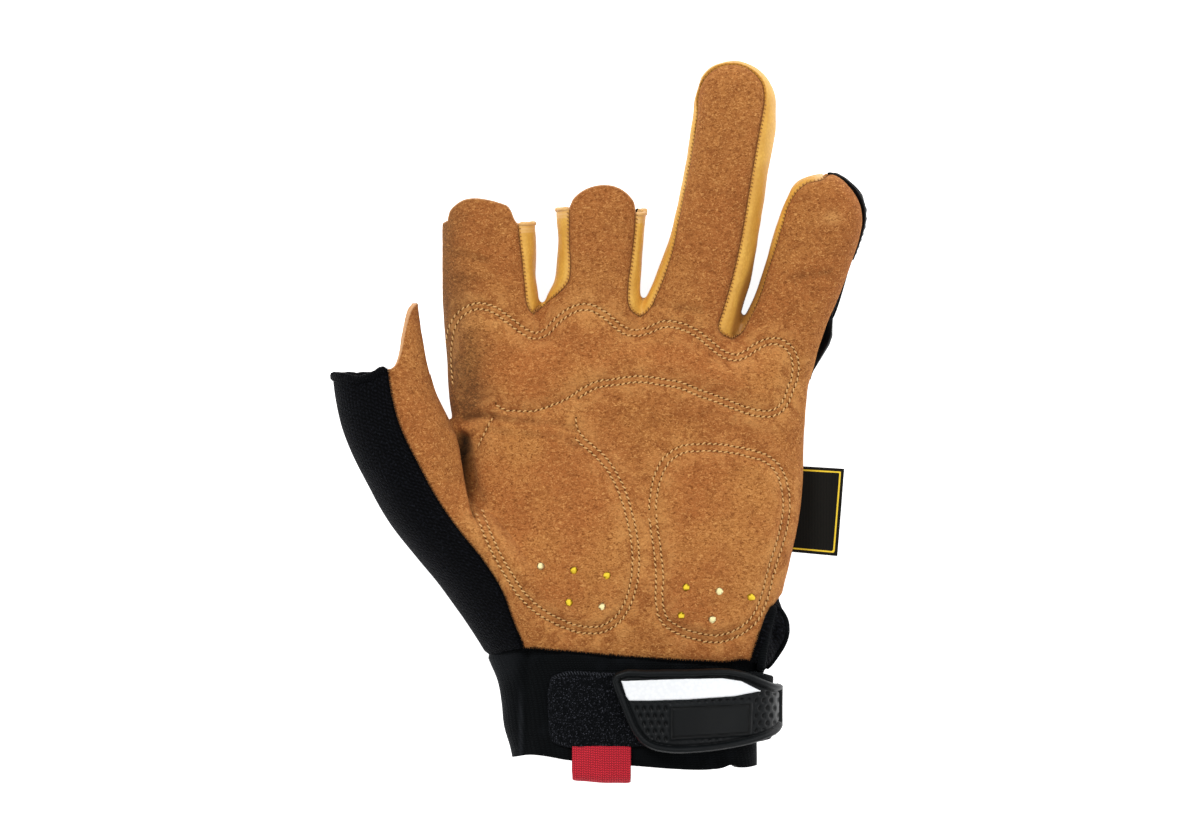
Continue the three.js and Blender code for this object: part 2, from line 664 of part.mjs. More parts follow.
// The webbing is folded over the hem: one leg on the cuff, one inside it, and the fold
const webbingBand = (outer, inner, end) => cuffForm(outer)
  .subtract(cuffForm(inner))
  .intersect(prism(rectangle(webbingLeft, webbingLeft + webbingWidth, webbingFold, end), 0, 22, 80));
const insideCuff = -cuffWall - clearance;
const pullLoop = joined([
  webbingBand(clearance + webbingThick, clearance, webbingEnd),
  webbingBand(insideCuff, insideCuff - webbingThick, webbingEnd),
  webbingBand(clearance + webbingThick, insideCuff - webbingThick, webbingFold + webbingThick),
]);

const suede = { color: "#a86a38", roughness: 0.95, metalness: 0 };
const goatskin = { color: "#d9a34e", roughness: 0.6, metalness: 0 };
const blackKnit = { color: "#101114", roughness: 0.95, metalness: 0 };
const neoprene = { color: "#0e1113", roughness: 0.85, metalness: 0 };
const loopPile = { color: "#0e0f12", roughness: 1, metalness: 0 };
const mouldedRubber = { color: "#202427", roughness: 0.5, metalness: 0 };
const whiteFilm = { color: "#f2f6f9", roughness: 0.35, metalness: 0 };
const redWebbing = { color: "#b72836", roughness: 0.8, metalness: 0 };
const wovenLabel = { color: "#15150f", roughness: 0.8, metalness: 0 };
const yellowFoam = { color: "#f0d080", roughness: 0.9, metalness: 0 };

const pieces = [
  ["palm_leather", palmLeather, suede],
  ["thumb_leather", thumbLeather, suede],
  ["thumb_knit", thumbKnit, blackKnit],
  ["fourchette_index_middle", sideWall(indexMiddleSpan), goatskin],
  ["fourchette_middle_ring", sideWall(middleRingSpan), goatskin],
  ["fourchette_ring_little", sideWall(ringLittleSpan), goatskin],
  ["back_panel", backPanel, blackKnit],
  ["knuckle_guard", knuckleGuard, mouldedRubber],
  ["finger_guard", fingerGuard, mouldedRubber],
  ["thenar_foam", foamPad(alongOutline(thenarPad)), yellowFoam],
  ["hypothenar_foam", foamPad(alongOutline(hypothenarPad)), yellowFoam],
  ["cuff", cuff, neoprene],
  ["loop_patch", loopPatch, loopPile],
  ["strap", strap, neoprene],
  ["closure_tab", closureTab, mouldedRubber],
  ["tab_insert", tabInsert, whiteFilm],
  ["pull_loop", pullLoop, redWebbing],
  ["side_label", labelBand(0), wovenLabel],
];

// Slivers left beside a cut are dropped: each piece is its largest body
const largestBody = (solid) => {
  const bodies = solid.decompose();
  return bodies.reduce((best, body) => (body.volume() > best.volume() ? body : best));
};

const glove = new THREE.Group();
pieces.forEach(([name, solid, look]) => {
  const { vertProperties, triVerts } = largestBody(solid).getMesh();
  const geometry = new THREE.BufferGeometry();
  geometry.setAttribute("position", new THREE.Float32BufferAttribute(vertProperties, 3));
  geometry.setIndex(Array.from(triVerts));
  geometry.computeVertexNormals();
  const mesh = new THREE.Mesh(geometry, new THREE.MeshStandardMaterial(look));
  mesh.name = name;
  glove.add(mesh);
});

export default glove;
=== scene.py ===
from math import cos, pi, radians, sin

import bmesh
import bpy
import numpy as np
from mathutils import Matrix, Vector, noise
from mathutils.bvhtree import BVHTree
from mathutils.kdtree import KDTree


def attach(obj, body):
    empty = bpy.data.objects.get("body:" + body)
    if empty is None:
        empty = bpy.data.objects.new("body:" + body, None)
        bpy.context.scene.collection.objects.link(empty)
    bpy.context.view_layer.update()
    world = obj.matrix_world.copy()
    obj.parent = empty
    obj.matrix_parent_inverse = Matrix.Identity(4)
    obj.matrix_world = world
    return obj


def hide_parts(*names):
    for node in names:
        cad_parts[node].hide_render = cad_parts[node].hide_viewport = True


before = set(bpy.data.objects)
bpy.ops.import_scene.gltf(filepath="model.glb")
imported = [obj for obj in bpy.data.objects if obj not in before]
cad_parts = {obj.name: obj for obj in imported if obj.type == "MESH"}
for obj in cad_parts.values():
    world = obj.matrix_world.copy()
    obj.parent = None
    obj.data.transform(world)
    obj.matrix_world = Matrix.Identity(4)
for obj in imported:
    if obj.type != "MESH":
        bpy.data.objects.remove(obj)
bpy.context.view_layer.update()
scene = bpy.context.scene
mm = 0.001
print("frame loaded,", len(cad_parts), "nodes")


# Camera and studio
studio = {
    "lens": 400.0,
    "distance": 4.4,           # above the palm, so the picture is 396 mm wide
    "focusHeight": 0.028,
    "floorColour": (0.93, 0.93, 0.93, 1),
    "floorGlow": 0.92,         # a light table, so the glove throws almost no shadow
    "worldStrength": 0.45,
    "floorSize": 4,
    "lights": {                # place, size and power, each aimed at the glove
        "keyLight": ((-0.55, 0.75, 1.15), 0.55, 13.0),
        "fillLight": ((0.75, -0.35, 1.2), 0.9, 5.0),
        "sideLight": ((0.9, 0.7, 0.45), 0.5, 3.0),
    },
}
cameraData = bpy.data.cameras.new("camera")
cameraData.lens = studio["lens"]
cameraData.sensor_width = 36
cameraData.clip_end = 20
camera = bpy.data.objects.new("camera", cameraData)
scene.collection.objects.link(camera)
camera.location = (0, 0, studio["focusHeight"] + studio["distance"])
scene.camera = camera
scene.view_settings.view_transform = "Standard"

for name, (place, size, power) in studio["lights"].items():
    lampData = bpy.data.lights.new(name, "AREA")
    lampData.shape = "DISK"
    lampData.size = size
    lampData.energy = power
    lamp = bpy.data.objects.new(name, lampData)
    scene.collection.objects.link(lamp)
    lamp.location = place
    lamp.rotation_euler = (-Vector(place)).to_track_quat("-Z", "Y").to_euler()
world = bpy.data.worlds.new("studioWorld")
world.use_nodes = True
world.node_tree.nodes["Background"].inputs["Color"].default_value = (1, 1, 1, 1)
world.node_tree.nodes["Background"].inputs["Strength"].default_value = studio["worldStrength"]
scene.world = world


# Shader helpers
def newMaterial(name, **sockets):
    material = bpy.data.materials.new(name)
    material.use_nodes = True
    shader = material.node_tree.nodes["Principled BSDF"]
    for socket, value in sockets.items():
        shader.inputs[socket.replace("_", " ")].default_value = value
    return material, material.node_tree, shader


def addNode(tree, kind, inputs=None, **settings):
    node = tree.nodes.new(kind)
    for key, value in settings.items():
        setattr(node, key, value)
    for key, value in (inputs or {}).items():
        if isinstance(value, bpy.types.NodeSocket):
            tree.links.new(value, node.inputs[key])
        else:
            node.inputs[key].default_value = value
    return node


def maths(tree, operation, a, b=0.0, c=0.0):
    return addNode(tree, "ShaderNodeMath", {0: a, 1: b, 2: c}, operation=operation).outputs[0]


def times(tree, a, b):
    return maths(tree, "MULTIPLY", a, b)


def rangeMap(tree, value, low, high, toLow=0.0, toHigh=1.0):
    inputs = {"Value": value, "From Min": low, "From Max": high, "To Min": toLow, "To Max": toHigh}
    return addNode(tree, "ShaderNodeMapRange", inputs, interpolation_type="SMOOTHSTEP").outputs["Result"]


def mixColour(tree, factor, a, b):
    return addNode(tree, "ShaderNodeMix", {0: factor, 6: a, 7: b}, data_type="RGBA").outputs[2]


def attribute(tree, name):
    return addNode(tree, "ShaderNodeAttribute", attribute_name=name, attribute_type="GEOMETRY").outputs["Fac"]


def objectCoords(tree):
    return addNode(tree, "ShaderNodeTexCoord").outputs["Object"]


def texture(tree, kind, scale, **inputs):
    return addNode(tree, "ShaderNodeTex" + kind, {"Vector": objectCoords(tree), "Scale": scale, **inputs})


def bumpTo(tree, shader, height, strength, distance):
    bump = addNode(tree, "ShaderNodeBump", {"Height": height, "Strength": strength, "Distance": distance})
    tree.links.new(bump.outputs["Normal"], shader.inputs["Normal"])


def fleckedMaterial(name, scale, first, second, **sockets):  # two tones of fibre, without relief
    material, tree, shader = newMaterial(name, **sockets)
    flecks = texture(tree, "Noise", scale).outputs["Fac"]
    tree.links.new(mixColour(tree, flecks, first, second), shader.inputs["Base Color"])
    return material


def srgb(r, g, b):
    def linear(c):
        c /= 255
        return c / 12.92 if c <= 0.04045 else ((c + 0.055) / 1.055) ** 2.4
    return (linear(r), linear(g), linear(b), 1)


def newGroup(name, ins, outs):
    group = bpy.data.node_groups.new(name, "ShaderNodeTree")
    for label, kind, value in ins:
        socket = group.interface.new_socket(name=label, in_out="INPUT", socket_type=kind)
        if value is not None:
            socket.default_value = value
    for label, kind in outs:
        group.interface.new_socket(name=label, in_out="OUTPUT", socket_type=kind)
    return group, group.nodes.new("NodeGroupInput").outputs, group.nodes.new("NodeGroupOutput").inputs


# Leather surface: soft patches and short fibres lying across the hand
napGroup, napIn, napOut = newGroup("napGrain", [
    ("Vector", "NodeSocketVector", None),
    ("Patch Size", "NodeSocketFloat", 90.0),
    ("Fibre Size", "NodeSocketFloat", 1500.0),
], [("Tone", "NodeSocketFloat"), ("Patches", "NodeSocketFloat"), ("Fibres", "NodeSocketFloat"),
    ("Height", "NodeSocketFloat")])
tones = addNode(napGroup, "ShaderNodeTexNoise", {"Vector": napIn["Vector"], "Scale": 34.0, "Detail": 4.0,
                                                 "Roughness": 0.6})
patches = addNode(napGroup, "ShaderNodeTexNoise", {"Vector": napIn["Vector"], "Scale": napIn["Patch Size"],
                                                   "Detail": 6.0, "Roughness": 0.68, "Distortion": 0.8})
lying = addNode(napGroup, "ShaderNodeVectorMath", {0: napIn["Vector"], 1: (0.72, 1.12, 1.0)},
                operation="MULTIPLY")
fibres = addNode(napGroup, "ShaderNodeTexNoise", {"Vector": lying.outputs[0], "Scale": napIn["Fibre Size"],
                                                  "Detail": 3.0, "Roughness": 0.7, "Distortion": 1.2})
napGroup.links.new(tones.outputs["Fac"], napOut["Tone"])
napGroup.links.new(patches.outputs["Fac"], napOut["Patches"])
napGroup.links.new(fibres.outputs["Fac"], napOut["Fibres"])
napHeight = maths(napGroup, "ADD", times(napGroup, patches.outputs["Fac"], 0.4),
                  times(napGroup, fibres.outputs["Fac"], 0.6))
napGroup.links.new(napHeight, napOut["Height"])

# Cloth surface: rows of knitted loops in the piece's own along and across directions
knitGroup, knitIn, knitOut = newGroup("knitRows", [
    ("Along", "NodeSocketFloat", 0.0),
    ("Across", "NodeSocketFloat", 0.0),
    ("Rows", "NodeSocketFloat", 1.0),
    ("Columns", "NodeSocketFloat", 1.0),
    ("Lean", "NodeSocketFloat", 0.5),
], [("Height", "NodeSocketFloat")])
columnTurns = times(knitGroup, knitIn["Across"], knitIn["Columns"])
zigzag = maths(knitGroup, "PINGPONG", columnTurns, 1.0)
rowTurns = maths(knitGroup, "ADD", times(knitGroup, knitIn["Along"], knitIn["Rows"]),
                 times(knitGroup, zigzag, knitIn["Lean"]))
rowWave = maths(knitGroup, "SINE", times(knitGroup, rowTurns, 2 * pi))
columnWave = maths(knitGroup, "SINE", times(knitGroup, columnTurns, pi))
loopHeight = times(knitGroup, maths(knitGroup, "ABSOLUTE", columnWave),
                   maths(knitGroup, "MULTIPLY_ADD", rowWave, 0.5, 0.5))
knitGroup.links.new(loopHeight, knitOut["Height"])


def loopRows(tree, look, along=None):
    along = along if along is not None else attribute(tree, "along")
    inputs = {"Along": along, "Across": attribute(tree, "across"),
              "Rows": look["rows"], "Columns": look["columns"], "Lean": look["lean"]}
    return addNode(tree, "ShaderNodeGroup", inputs, node_tree=knitGroup).outputs["Height"]


# The glove's form
# y, left, right, bottom, top of each cross section in mm, from the wrist outwards
palmRows = [
    (-88, -34.0, 52.5, 2.6, 33.8), (-82, -35.5, 55.8, 2.7, 34.5), (-78, -37.0, 58.6, 2.7, 35.0),
    (-72, -40.0, 62.0, 2.8, 35.8), (-68, -41.3, 62.8, 2.9, 36.3), (-64.5, -42.4, 61.8, 3.0, 36.5),
    (-61, -43.2, 59.6, 3.1, 36.8), (-58, -44.0, 60.3, 3.2, 37.0), (-46, -45.5, 63.0, 3.5, 36.5),
    (-34, -46.5, 65.5, 3.8, 35.0), (-20, -47.0, 67.0, 4.0, 33.0), (-6, -48.0, 67.5, 4.2, 31.8),
    (8, -49.8, 68.4, 4.3, 30.8), (18, -50.6, 70.2, 4.3, 29.4), (25, -50.6, 72.4, 4.8, 26.0),
    (29.5, -48.5, 72.0, 9.5, 18.5),
]
thumbRows = [
    (-86, -34.4, 2, 3.3, 33.6), (-77, -37.8, 0, 3.2, 35.0), (-67, -44.3, -6, 3.2, 37.5),
    (-56, -52.0, -13, 3.4, 39.9), (-45, -60.9, -22, 3.7, 41.8), (-34, -69.5, -33.0, 4.7, 43.0),
    (-23, -75.9, -42.6, 6.3, 43.6), (-12, -81.5, -45.4, 8.2, 43.6), (-1, -85.6, -49.2, 10.1, 43.1),
    (10, -87.8, -54.3, 12.0, 41.8), (20, -88.4, -56.9, 13.5, 40.3), (32, -85.6, -59.0, 14.8, 38.2),
    (44, -81.5, -60.2, 16.0, 36.0),
]
indexRows = [
    (8, -48.0, -18.0, 6.0, 26.0), (20, -50.5, -16.6, 4.6, 28.2), (30, -51.6, -17.2, 4.4, 28.4),
    (38, -52.0, -19.9, 4.4, 28.4), (47, -52.5, -21.2, 4.7, 28.3), (60, -52.4, -21.2, 5.0, 28.0),
    (84, -49.5, -24.0, 6.0, 27.0),
]
middleRows = [
    (8, -17.0, 13.0, 6.0, 27.0), (20, -20.0, 14.0, 4.6, 28.8), (30, -20.2, 14.2, 4.4, 29.0),
    (38, -18.6, 13.4, 4.4, 29.0), (46, -15.2, 13.6, 4.6, 29.0), (58, -13.9, 14.2, 4.9, 28.8),
    (70, -14.6, 15.2, 5.3, 28.5), (88, -12.0, 13.5, 6.4, 27.0),
]
ringRows = [
    (6, 12.0, 42.0, 6.0, 26.0), (18, 10.5, 44.5, 4.6, 28.0), (28, 10.5, 45.4, 4.4, 28.2),
    (36, 13.0, 46.8, 4.4, 28.2), (46, 17.8, 49.7, 4.6, 28.1), (60, 22.7, 52.3, 4.8, 28.0),
    (80, 27.4, 55.3, 5.2, 28.2), (102, 30.9, 58.2, 6.2, 28.8), (110, 32.3, 57.0, 7.4, 28.0),
    (115, 34.4, 53.6, 9.4, 26.2), (117.6, 38.2, 49.8, 12.2, 23.2), (118.7, 42.4, 46.0, 16.2, 19.8),
]
littleRows = [
    (2, 42.0, 66.0, 7.0, 25.0), (12, 42.5, 69.0, 5.2, 26.6), (22, 42.6, 72.4, 4.6, 26.8),
    (30, 45.6, 75.2, 4.6, 26.8), (38, 49.8, 78.5, 4.6, 26.7), (52, 54.7, 83.1, 5.0, 26.5),
    (60, 57.1, 85.7, 5.3, 26.7), (67, 59.3, 87.0, 5.7, 26.8), (74, 61.9, 85.0, 7.2, 26.0),
    (78.4, 65.0, 81.4, 9.6, 24.2), (80.8, 69.0, 78.2, 12.6, 21.0), (81.5, 72.0, 75.6, 15.4, 18.2),
]
cuffRows = [
    (-124, -27.4, 52.0, 2.3, 32.6), (-110, -29.4, 51.8, 2.3, 32.6), (-102, -31.5, 51.8, 2.3, 32.8),
    (-94, -32.4, 51.8, 2.3, 33.2), (-86, -34.0, 52.0, 2.3, 33.8), (-78, -37.2, 53.0, 2.3, 34.6),
    (-66, -41.0, 54.5, 2.3, 35.6),
]
strapRows = [(y, left - 0.3, right + 3, bottom - 0.3, top + 1.9) for y, left, right, bottom, top in cuffRows]


def smoothRows(rows, ys):
    table = np.array(rows, float)
    y = table[:, 0]
    ys = np.clip(ys, y[0], y[-1])
    slopes = np.gradient(table, y, axis=0)
    slot = np.clip(np.searchsorted(y, ys, side="right") - 1, 0, len(y) - 2)
    gap = (y[slot + 1] - y[slot])[:, None]
    t = ((ys - y[slot])[:, None]) / gap
    a, b = table[slot], table[slot + 1]
    ga, gb = slopes[slot] * gap, slopes[slot + 1] * gap
    out = ((2 * t**3 - 3 * t**2 + 1) * a + (t**3 - 2 * t**2 + t) * ga
           + (3 * t**2 - 2 * t**3) * b + (t**3 - t**2) * gb)
    out[:, 0] = ys
    return out


def bulge(value, power):  # one coordinate of a superellipse
    return np.sign(value) * abs(value) ** (2 / power)


def nextRing(bm, edges):
    made = bmesh.ops.extrude_edge_only(bm, edges=edges)["geom"]
    ring = [g for g in made if isinstance(g, bmesh.types.BMVert)]
    members = set(ring)
    return ring, [g for g in made if isinstance(g, bmesh.types.BMEdge)
                  and g.verts[0] in members and g.verts[1] in members]


def addLoft(bm, rows, step=2.0, around=96, powerTop=2.5, powerBottom=3.0, capped=True, yRange=None):
    angleKey = bm.verts.layers.float.get("angle") or bm.verts.layers.float.new("angle")
    widest = max(rows, key=lambda row: row[2] - row[1])
    turns = np.linspace(0, 2 * pi, 6000)
    power = np.where(np.sin(turns) > 0, powerTop, powerBottom)
    outline = np.column_stack([(widest[2] - widest[1]) * bulge(np.cos(turns), power),
                               (widest[4] - widest[3]) * bulge(np.sin(turns), power)])
    travel = np.append(0, np.cumsum(np.linalg.norm(np.diff(outline, axis=0), axis=1)))
    angles = np.interp(np.linspace(0, travel[-1], around + 1)[:-1], travel, turns)
    low, high = yRange or (rows[0][0], rows[-1][0])
    ys = np.linspace(low, high, int((high - low) / step) + 2)
    if rows[-1][2] - rows[-1][1] < 5:  # a round fingertip
        ys = np.unique(np.append(ys, [r[0] for r in rows[-4:]]))
    ring = bmesh.ops.create_circle(bm, segments=around, radius=1)["verts"]
    for i, vert in enumerate(ring):
        vert[angleKey] = angles[i]
    edges = list(dict.fromkeys(e for v in ring for e in v.link_edges))
    firstEdges = edges
    for count, (y, left, right, bottom, top) in enumerate(smoothRows(rows, ys)):
        if count:
            ring, edges = nextRing(bm, edges)
        for vert in ring:
            angle = vert[angleKey]
            c, s = cos(angle), sin(angle)
            power = powerTop if s > 0 else powerBottom
            x = (left + right) / 2 + (right - left) / 2 * bulge(c, power)
            z = (bottom + top) / 2 + (top - bottom) / 2 * bulge(s, power)
            vert.co = (x * mm, y * mm, z * mm)
    if capped:
        bmesh.ops.contextual_create(bm, geom=firstEdges)
        bmesh.ops.contextual_create(bm, geom=edges)
    bmesh.ops.recalc_face_normals(bm, faces=bm.faces)


def throughModifiers(bm, *steps):
    mesh = bpy.data.meshes.new("working")
    bm.to_mesh(mesh)
    bm.free()
    holder = bpy.data.objects.new("working", mesh)
    scene.collection.objects.link(holder)
    for kind, settings in steps:
        modifier = holder.modifiers.new(kind, kind)
        for key, value in settings.items():
            setattr(modifier, key, value)
    out = bmesh.new()
    out.from_object(holder, bpy.context.evaluated_depsgraph_get())
    bpy.data.objects.remove(holder)
    bpy.data.meshes.remove(mesh)
    return out


def coordsOf(bm):
    return np.array([v.co[:] for v in bm.verts]) / mm


def grow(bm, distance):
    bm.normal_update()
    for vert in bm.verts:
        vert.co += vert.normal * distance * mm


glove = {
    "voxel": 0.00085,
    "smoothing": 9,
    "leatherWall": 1.8,
    "knitWall": 1.6,
    "padRise": 1.6,
    "padEdge": 6.0,
    "palmWebDrop": 9,     # how far the palm and the thumb reach round the web
    "thumbWebDrop": 19,
    "weld": 0.12,         # closer points on a cut edge become one
}
body = bmesh.new()
addLoft(body, palmRows, powerTop=2.9, powerBottom=3.2, around=140)
addLoft(body, thumbRows, powerTop=2.3, powerBottom=2.6, around=110)
for rows in (indexRows, middleRows, ringRows, littleRows):
    addLoft(body, rows)
body = throughModifiers(
    body,
    ("REMESH", {"mode": "VOXEL", "voxel_size": glove["voxel"]}),
    ("SMOOTH", {"factor": 0.5, "iterations": glove["smoothing"]}),
)
print("form built,", len(body.verts), "points")


# Fields over the form, in mm: positive inside a region, zero on its edge
def smoothPath(points, step=1.5, closed=False):
    points = np.array(points, float)
    if closed:
        points = np.vstack([points[-2:], points, points[:3]])
    lengths = np.append(0, np.cumsum(np.linalg.norm(np.diff(points, axis=0), axis=1)))
    table = np.column_stack([lengths, points])
    low, high = (lengths[2], lengths[-3]) if closed else (0, lengths[-1])
    at = np.linspace(low, high, max(int((high - low) / step), 2) + 1)
    return smoothRows(table, at)[: -1 if closed else None, 1:]


def smoothstep(x, low, high):
    t = np.clip((x - low) / (high - low), 0, 1)
    return t * t * (3 - 2 * t)


def bell(distance, width):
    return np.exp(-(distance / width) ** 2)


def blot(co, x, y, wide, high):  # a soft spot as seen from above
    return np.exp(-((co[:, 0] - x) / wide) ** 2 - ((co[:, 1] - y) / high) ** 2)


def insideOutline(co, outline):
    x, y = co[:, 0], co[:, 1]
    nearest = np.full(len(co), 1e9)
    inside = np.zeros(len(co), bool)
    for (ax, ay), (bx, by) in zip(outline, np.roll(outline, -1, axis=0)):
        dx, dy = bx - ax, by - ay
        t = np.clip(((x - ax) * dx + (y - ay) * dy) / max(dx * dx + dy * dy, 1e-9), 0, 1)
        nearest = np.minimum(nearest, (x - ax - t * dx) ** 2 + (y - ay - t * dy) ** 2)
        if ay != by:
            inside ^= ((ay > y) != (by > y)) & (x < ax + (y - ay) * dx / dy)
    return np.where(inside, 1, -1) * np.sqrt(nearest)


def nearPath(co, path):
    nearest = np.full(len(co), 1e9)
    for (ax, ay), (bx, by) in zip(path[:-1], path[1:]):
        dx, dy = bx - ax, by - ay
        t = np.clip(((co[:, 0] - ax) * dx + (co[:, 1] - ay) * dy) / (dx * dx + dy * dy + 1e-9), 0, 1)
        nearest = np.minimum(nearest, (co[:, 0] - ax - t * dx) ** 2 + (co[:, 1] - ay - t * dy) ** 2)
    return np.sqrt(nearest)


def between(rows):
    rows = np.array(rows, float)
    left, right = smoothPath(rows[:, [1, 0]]), smoothPath(rows[:, [2, 0]])
    return np.vstack([left, right[::-1]])


def below(line, low=-160):
    line = smoothPath(line)
    return np.vstack([line, [[line[-1, 0], low], [line[0, 0], low]]])


def above(line):
    return below(line, 140)


def heightAlong(co, rows):
    rows = np.array(rows, float)
    return np.interp(co[:, 1], rows[:, 0], rows[:, 1])


# Panel edges, in mm as seen from above
knitFrontEdge = [(-90, -25.4), (-75.5, -25.4), (-66, -28.8), (-56, -32.4), (-46, -38.6), (-36, -46.6),
                 (-26, -53.4), (-14, -60), (-6, -64.1), (0, -66.5), (8, -68.5), (18, -70), (60, -70)]
knitBackEdge = [(-90, -21), (-75.5, -22.5), (-66, -24.5), (-56, -28), (-46, -33), (-36, -37), (-26, -40.6),
                (-14, -43), (-6, -46.5), (0, -50), (8, -52), (18, -54), (60, -54)]
thumbSeam = [(-140, 12), (-60, 13), (-46, 16), (-30, 21), (-12, 24), (34, 26), (130, 26)]
sideSeam = [(-140, 12), (-60, 12.6), (-46, 13), (-30, 13.2), (-12, 13.4), (34, 14), (42, 12), (54, 9.9),
            (90, 10.2), (112, 12.5), (130, 14)]
palmEdge = [(-92, -70, 50), (-78, -70, 50.5), (-74, -70, 51.8), (-67, -70, 53.9), (-63, -70, 55.6),
            (-61, -70, 57.9), (-58.5, -70, 60.6), (-54, -70, 67), (-50, -70, 80), (26, -70, 90)]
indexEdge = [(20, -70, -12), (34.8, -70, -20.6), (35.6, -70, -22.2), (37, -70, -23.2), (44, -70, -24.2),
             (52, -70, -25), (64, -70, -26.4), (90, -70, -26.6)]
middleEdge = [(20, -26, 20), (33.8, -24, 15), (35, -22.4, 12.6), (37, -20.4, 10.4), (40, -17, 9.7),
              (43, -13.6, 9.8), (46, -11, 10), (50, -10.4, 10.6), (57, -10.6, 11.6), (90, -10.2, 11.9)]
ringEdge = [(20, 6, 52), (27.4, 9.4, 43.6), (28.4, 9.8, 41), (30, 10.2, 39.6), (33.6, 11.8, 40.3),
            (35, 13.8, 40.9), (37, 15.8, 41.5), (40, 17.4, 42.4), (45, 19.6, 43.8), (57, 23.6, 46.6),
            (68, 25.9, 48.6), (80, 28.2, 50.5), (91, 30.2, 52.4), (100, 31.3, 54.0), (106, 31.8, 54.9),
            (111, 32.9, 54.4), (115, 35.4, 51.6), (117.2, 38.8, 48.2), (118, 42, 45.6)]
littleEdge = [(20, 38, 96), (27.4, 43.8, 96), (28.8, 46, 96), (32.4, 48.2, 96), (37, 50.5, 96),
              (41.4, 52.2, 96), (45, 53.4, 96), (53, 56.1, 96), (60, 58.4, 96), (64.5, 59.8, 96),
              (72, 62.0, 96), (76, 64.6, 96), (78.9, 68.6, 96), (80.0, 73.4, 96), (84, 77, 96)]
cuffLine = [(-100, -78.5), (-38, -78), (-25.5, -75.6), (-13, -76.4), (13, -78.6), (33, -79.7), (41, -80.1),
            (50, -79.8), (54, -82), (58, -86), (100, -86)]
cuffHem = [(-100, -111.5), (-27.7, -111.2), (-25, -110.7), (-9, -112.4), (13, -114.2), (25, -115.1),
           (36, -115.3), (40.5, -114.8), (44, -113.7), (46, -114.6), (50, -114.5), (53, -113.8),
           (100, -113.8)]
indexHem = [(-70, 65), (-54, 65.1), (-51.6, 65.2), (-50.4, 65.8), (-49.8, 68.6), (-46.5, 72), (-34, 72),
            (-30.4, 70.6), (-26.8, 64.8), (-24.5, 64.8), (-16, 65.5)]
middleHem = [(-18, 70), (-12.4, 69.6), (-10.6, 69.9), (-8.9, 73), (-4, 76.6), (6, 76.8), (11.2, 72),
             (12.2, 68.2), (18, 69)]
thumbHem = [(-110, 14.4), (-89, 14.4), (-85.5, 14.2), (-82.5, 13.6), (-80, 13.2), (-77, 13.8), (-74, 14.9),
            (-71.4, 16.3), (-69, 16.8), (-67.3, 18.2), (-66, 21.3), (-64.4, 29), (-60.8, 38), (-50, 38)]
dotPlaces = [(-19.5, -48.2), (-8.6, -49.5), (2.3, -51.2), (-10.2, -60.1), (0.7, -61.4),
             (28.4, -55.1), (39.3, -56.4), (49.8, -58.4), (26.7, -64.4), (37, -65.7)]
dotRadius = 1.3


def leftOf(edge):
    line = smoothPath([(x, y) for y, x in edge])
    return np.vstack([line, [[-110, line[-1, 1]], [-110, line[0, 1]]]])


regions = {
    "knitFront": leftOf(knitFrontEdge),
    "knitBack": leftOf(knitBackEdge),
    "belowCuff": below(cuffLine),
    "belowHem": below(cuffHem),
    "indexOpen": above(indexHem),
    "middleOpen": above(middleHem),
    "thumbOpen": above(thumbHem),
}
leatherRegions = [between(rows) for rows in (palmEdge, indexEdge, middleEdge, ringEdge, littleEdge)]


def webDrop(co):  # how much lower the leather reaches round the web of the thumb
    webSide = smoothstep(co[:, 0], -70, -62)
    return webSide * np.exp(-(np.clip(co[:, 0] + 54, 0, None) / 7) ** 2) * smoothstep(co[:, 1], -40, -20)


def knitField(co):
    under = heightAlong(co, thumbSeam) - glove["thumbWebDrop"] * webDrop(co) - co[:, 2]
    return np.maximum(insideOutline(co, regions["knitFront"]),
                      np.minimum(insideOutline(co, regions["knitBack"]), under))


def leatherField(co):
    over = co[:, 2] - heightAlong(co, sideSeam) + glove["palmWebDrop"] * webDrop(co)
    over -= 4.2 * smoothstep(co[:, 0], 60, 68) * smoothstep(co[:, 1], 10, 24)
    palm = np.max([insideOutline(co, r) for r in leatherRegions], axis=0)
    thumbOver = co[:, 2] - heightAlong(co, thumbSeam) + glove["thumbWebDrop"] * webDrop(co)
    thumb = np.minimum(-46.5 - co[:, 0] + np.clip(-co[:, 1], 0, 60) * 0.6, thumbOver)
    return np.minimum(np.maximum(np.minimum(palm, over), thumb), -knitField(co))


def openField(co):
    flat = np.where(co[:, 2] > 27, 1.0, 0.0)
    thumb = np.where(flat > 0, insideOutline(co, regions["thumbOpen"]),
                     co[:, 1] - 13.6 - 1.8 * (co[:, 0] + 110) / 60)
    thumb = np.minimum(thumb, -52 - co[:, 0])
    front = co[:, 2] > 15.3
    index = np.where(front, insideOutline(co, regions["indexOpen"]), co[:, 1] - 65.2)
    index = np.minimum(index, -15.5 - co[:, 0])
    middle = np.where(front, insideOutline(co, regions["middleOpen"]), co[:, 1] - 69.4)
    middle = np.minimum(middle, 18 - np.abs(co[:, 0]))
    return np.max([thumb, index, middle], axis=0)


def splitAt(bm, field, snap=0.05):
    bm.verts.index_update()
    values = field(coordsOf(bm))
    cutVerts = dict.fromkeys(v for v in bm.verts if abs(values[v.index]) < snap)   # keeps their order
    for edge in list(bm.edges):
        a, b = edge.verts
        fa, fb = values[a.index], values[b.index]
        if fa * fb < 0 and abs(fa) >= snap and abs(fb) >= snap:
            cutVerts[bmesh.utils.edge_split(edge, a, fa / (fa - fb))[1]] = None
    bmesh.ops.connect_verts(bm, verts=list(cutVerts))


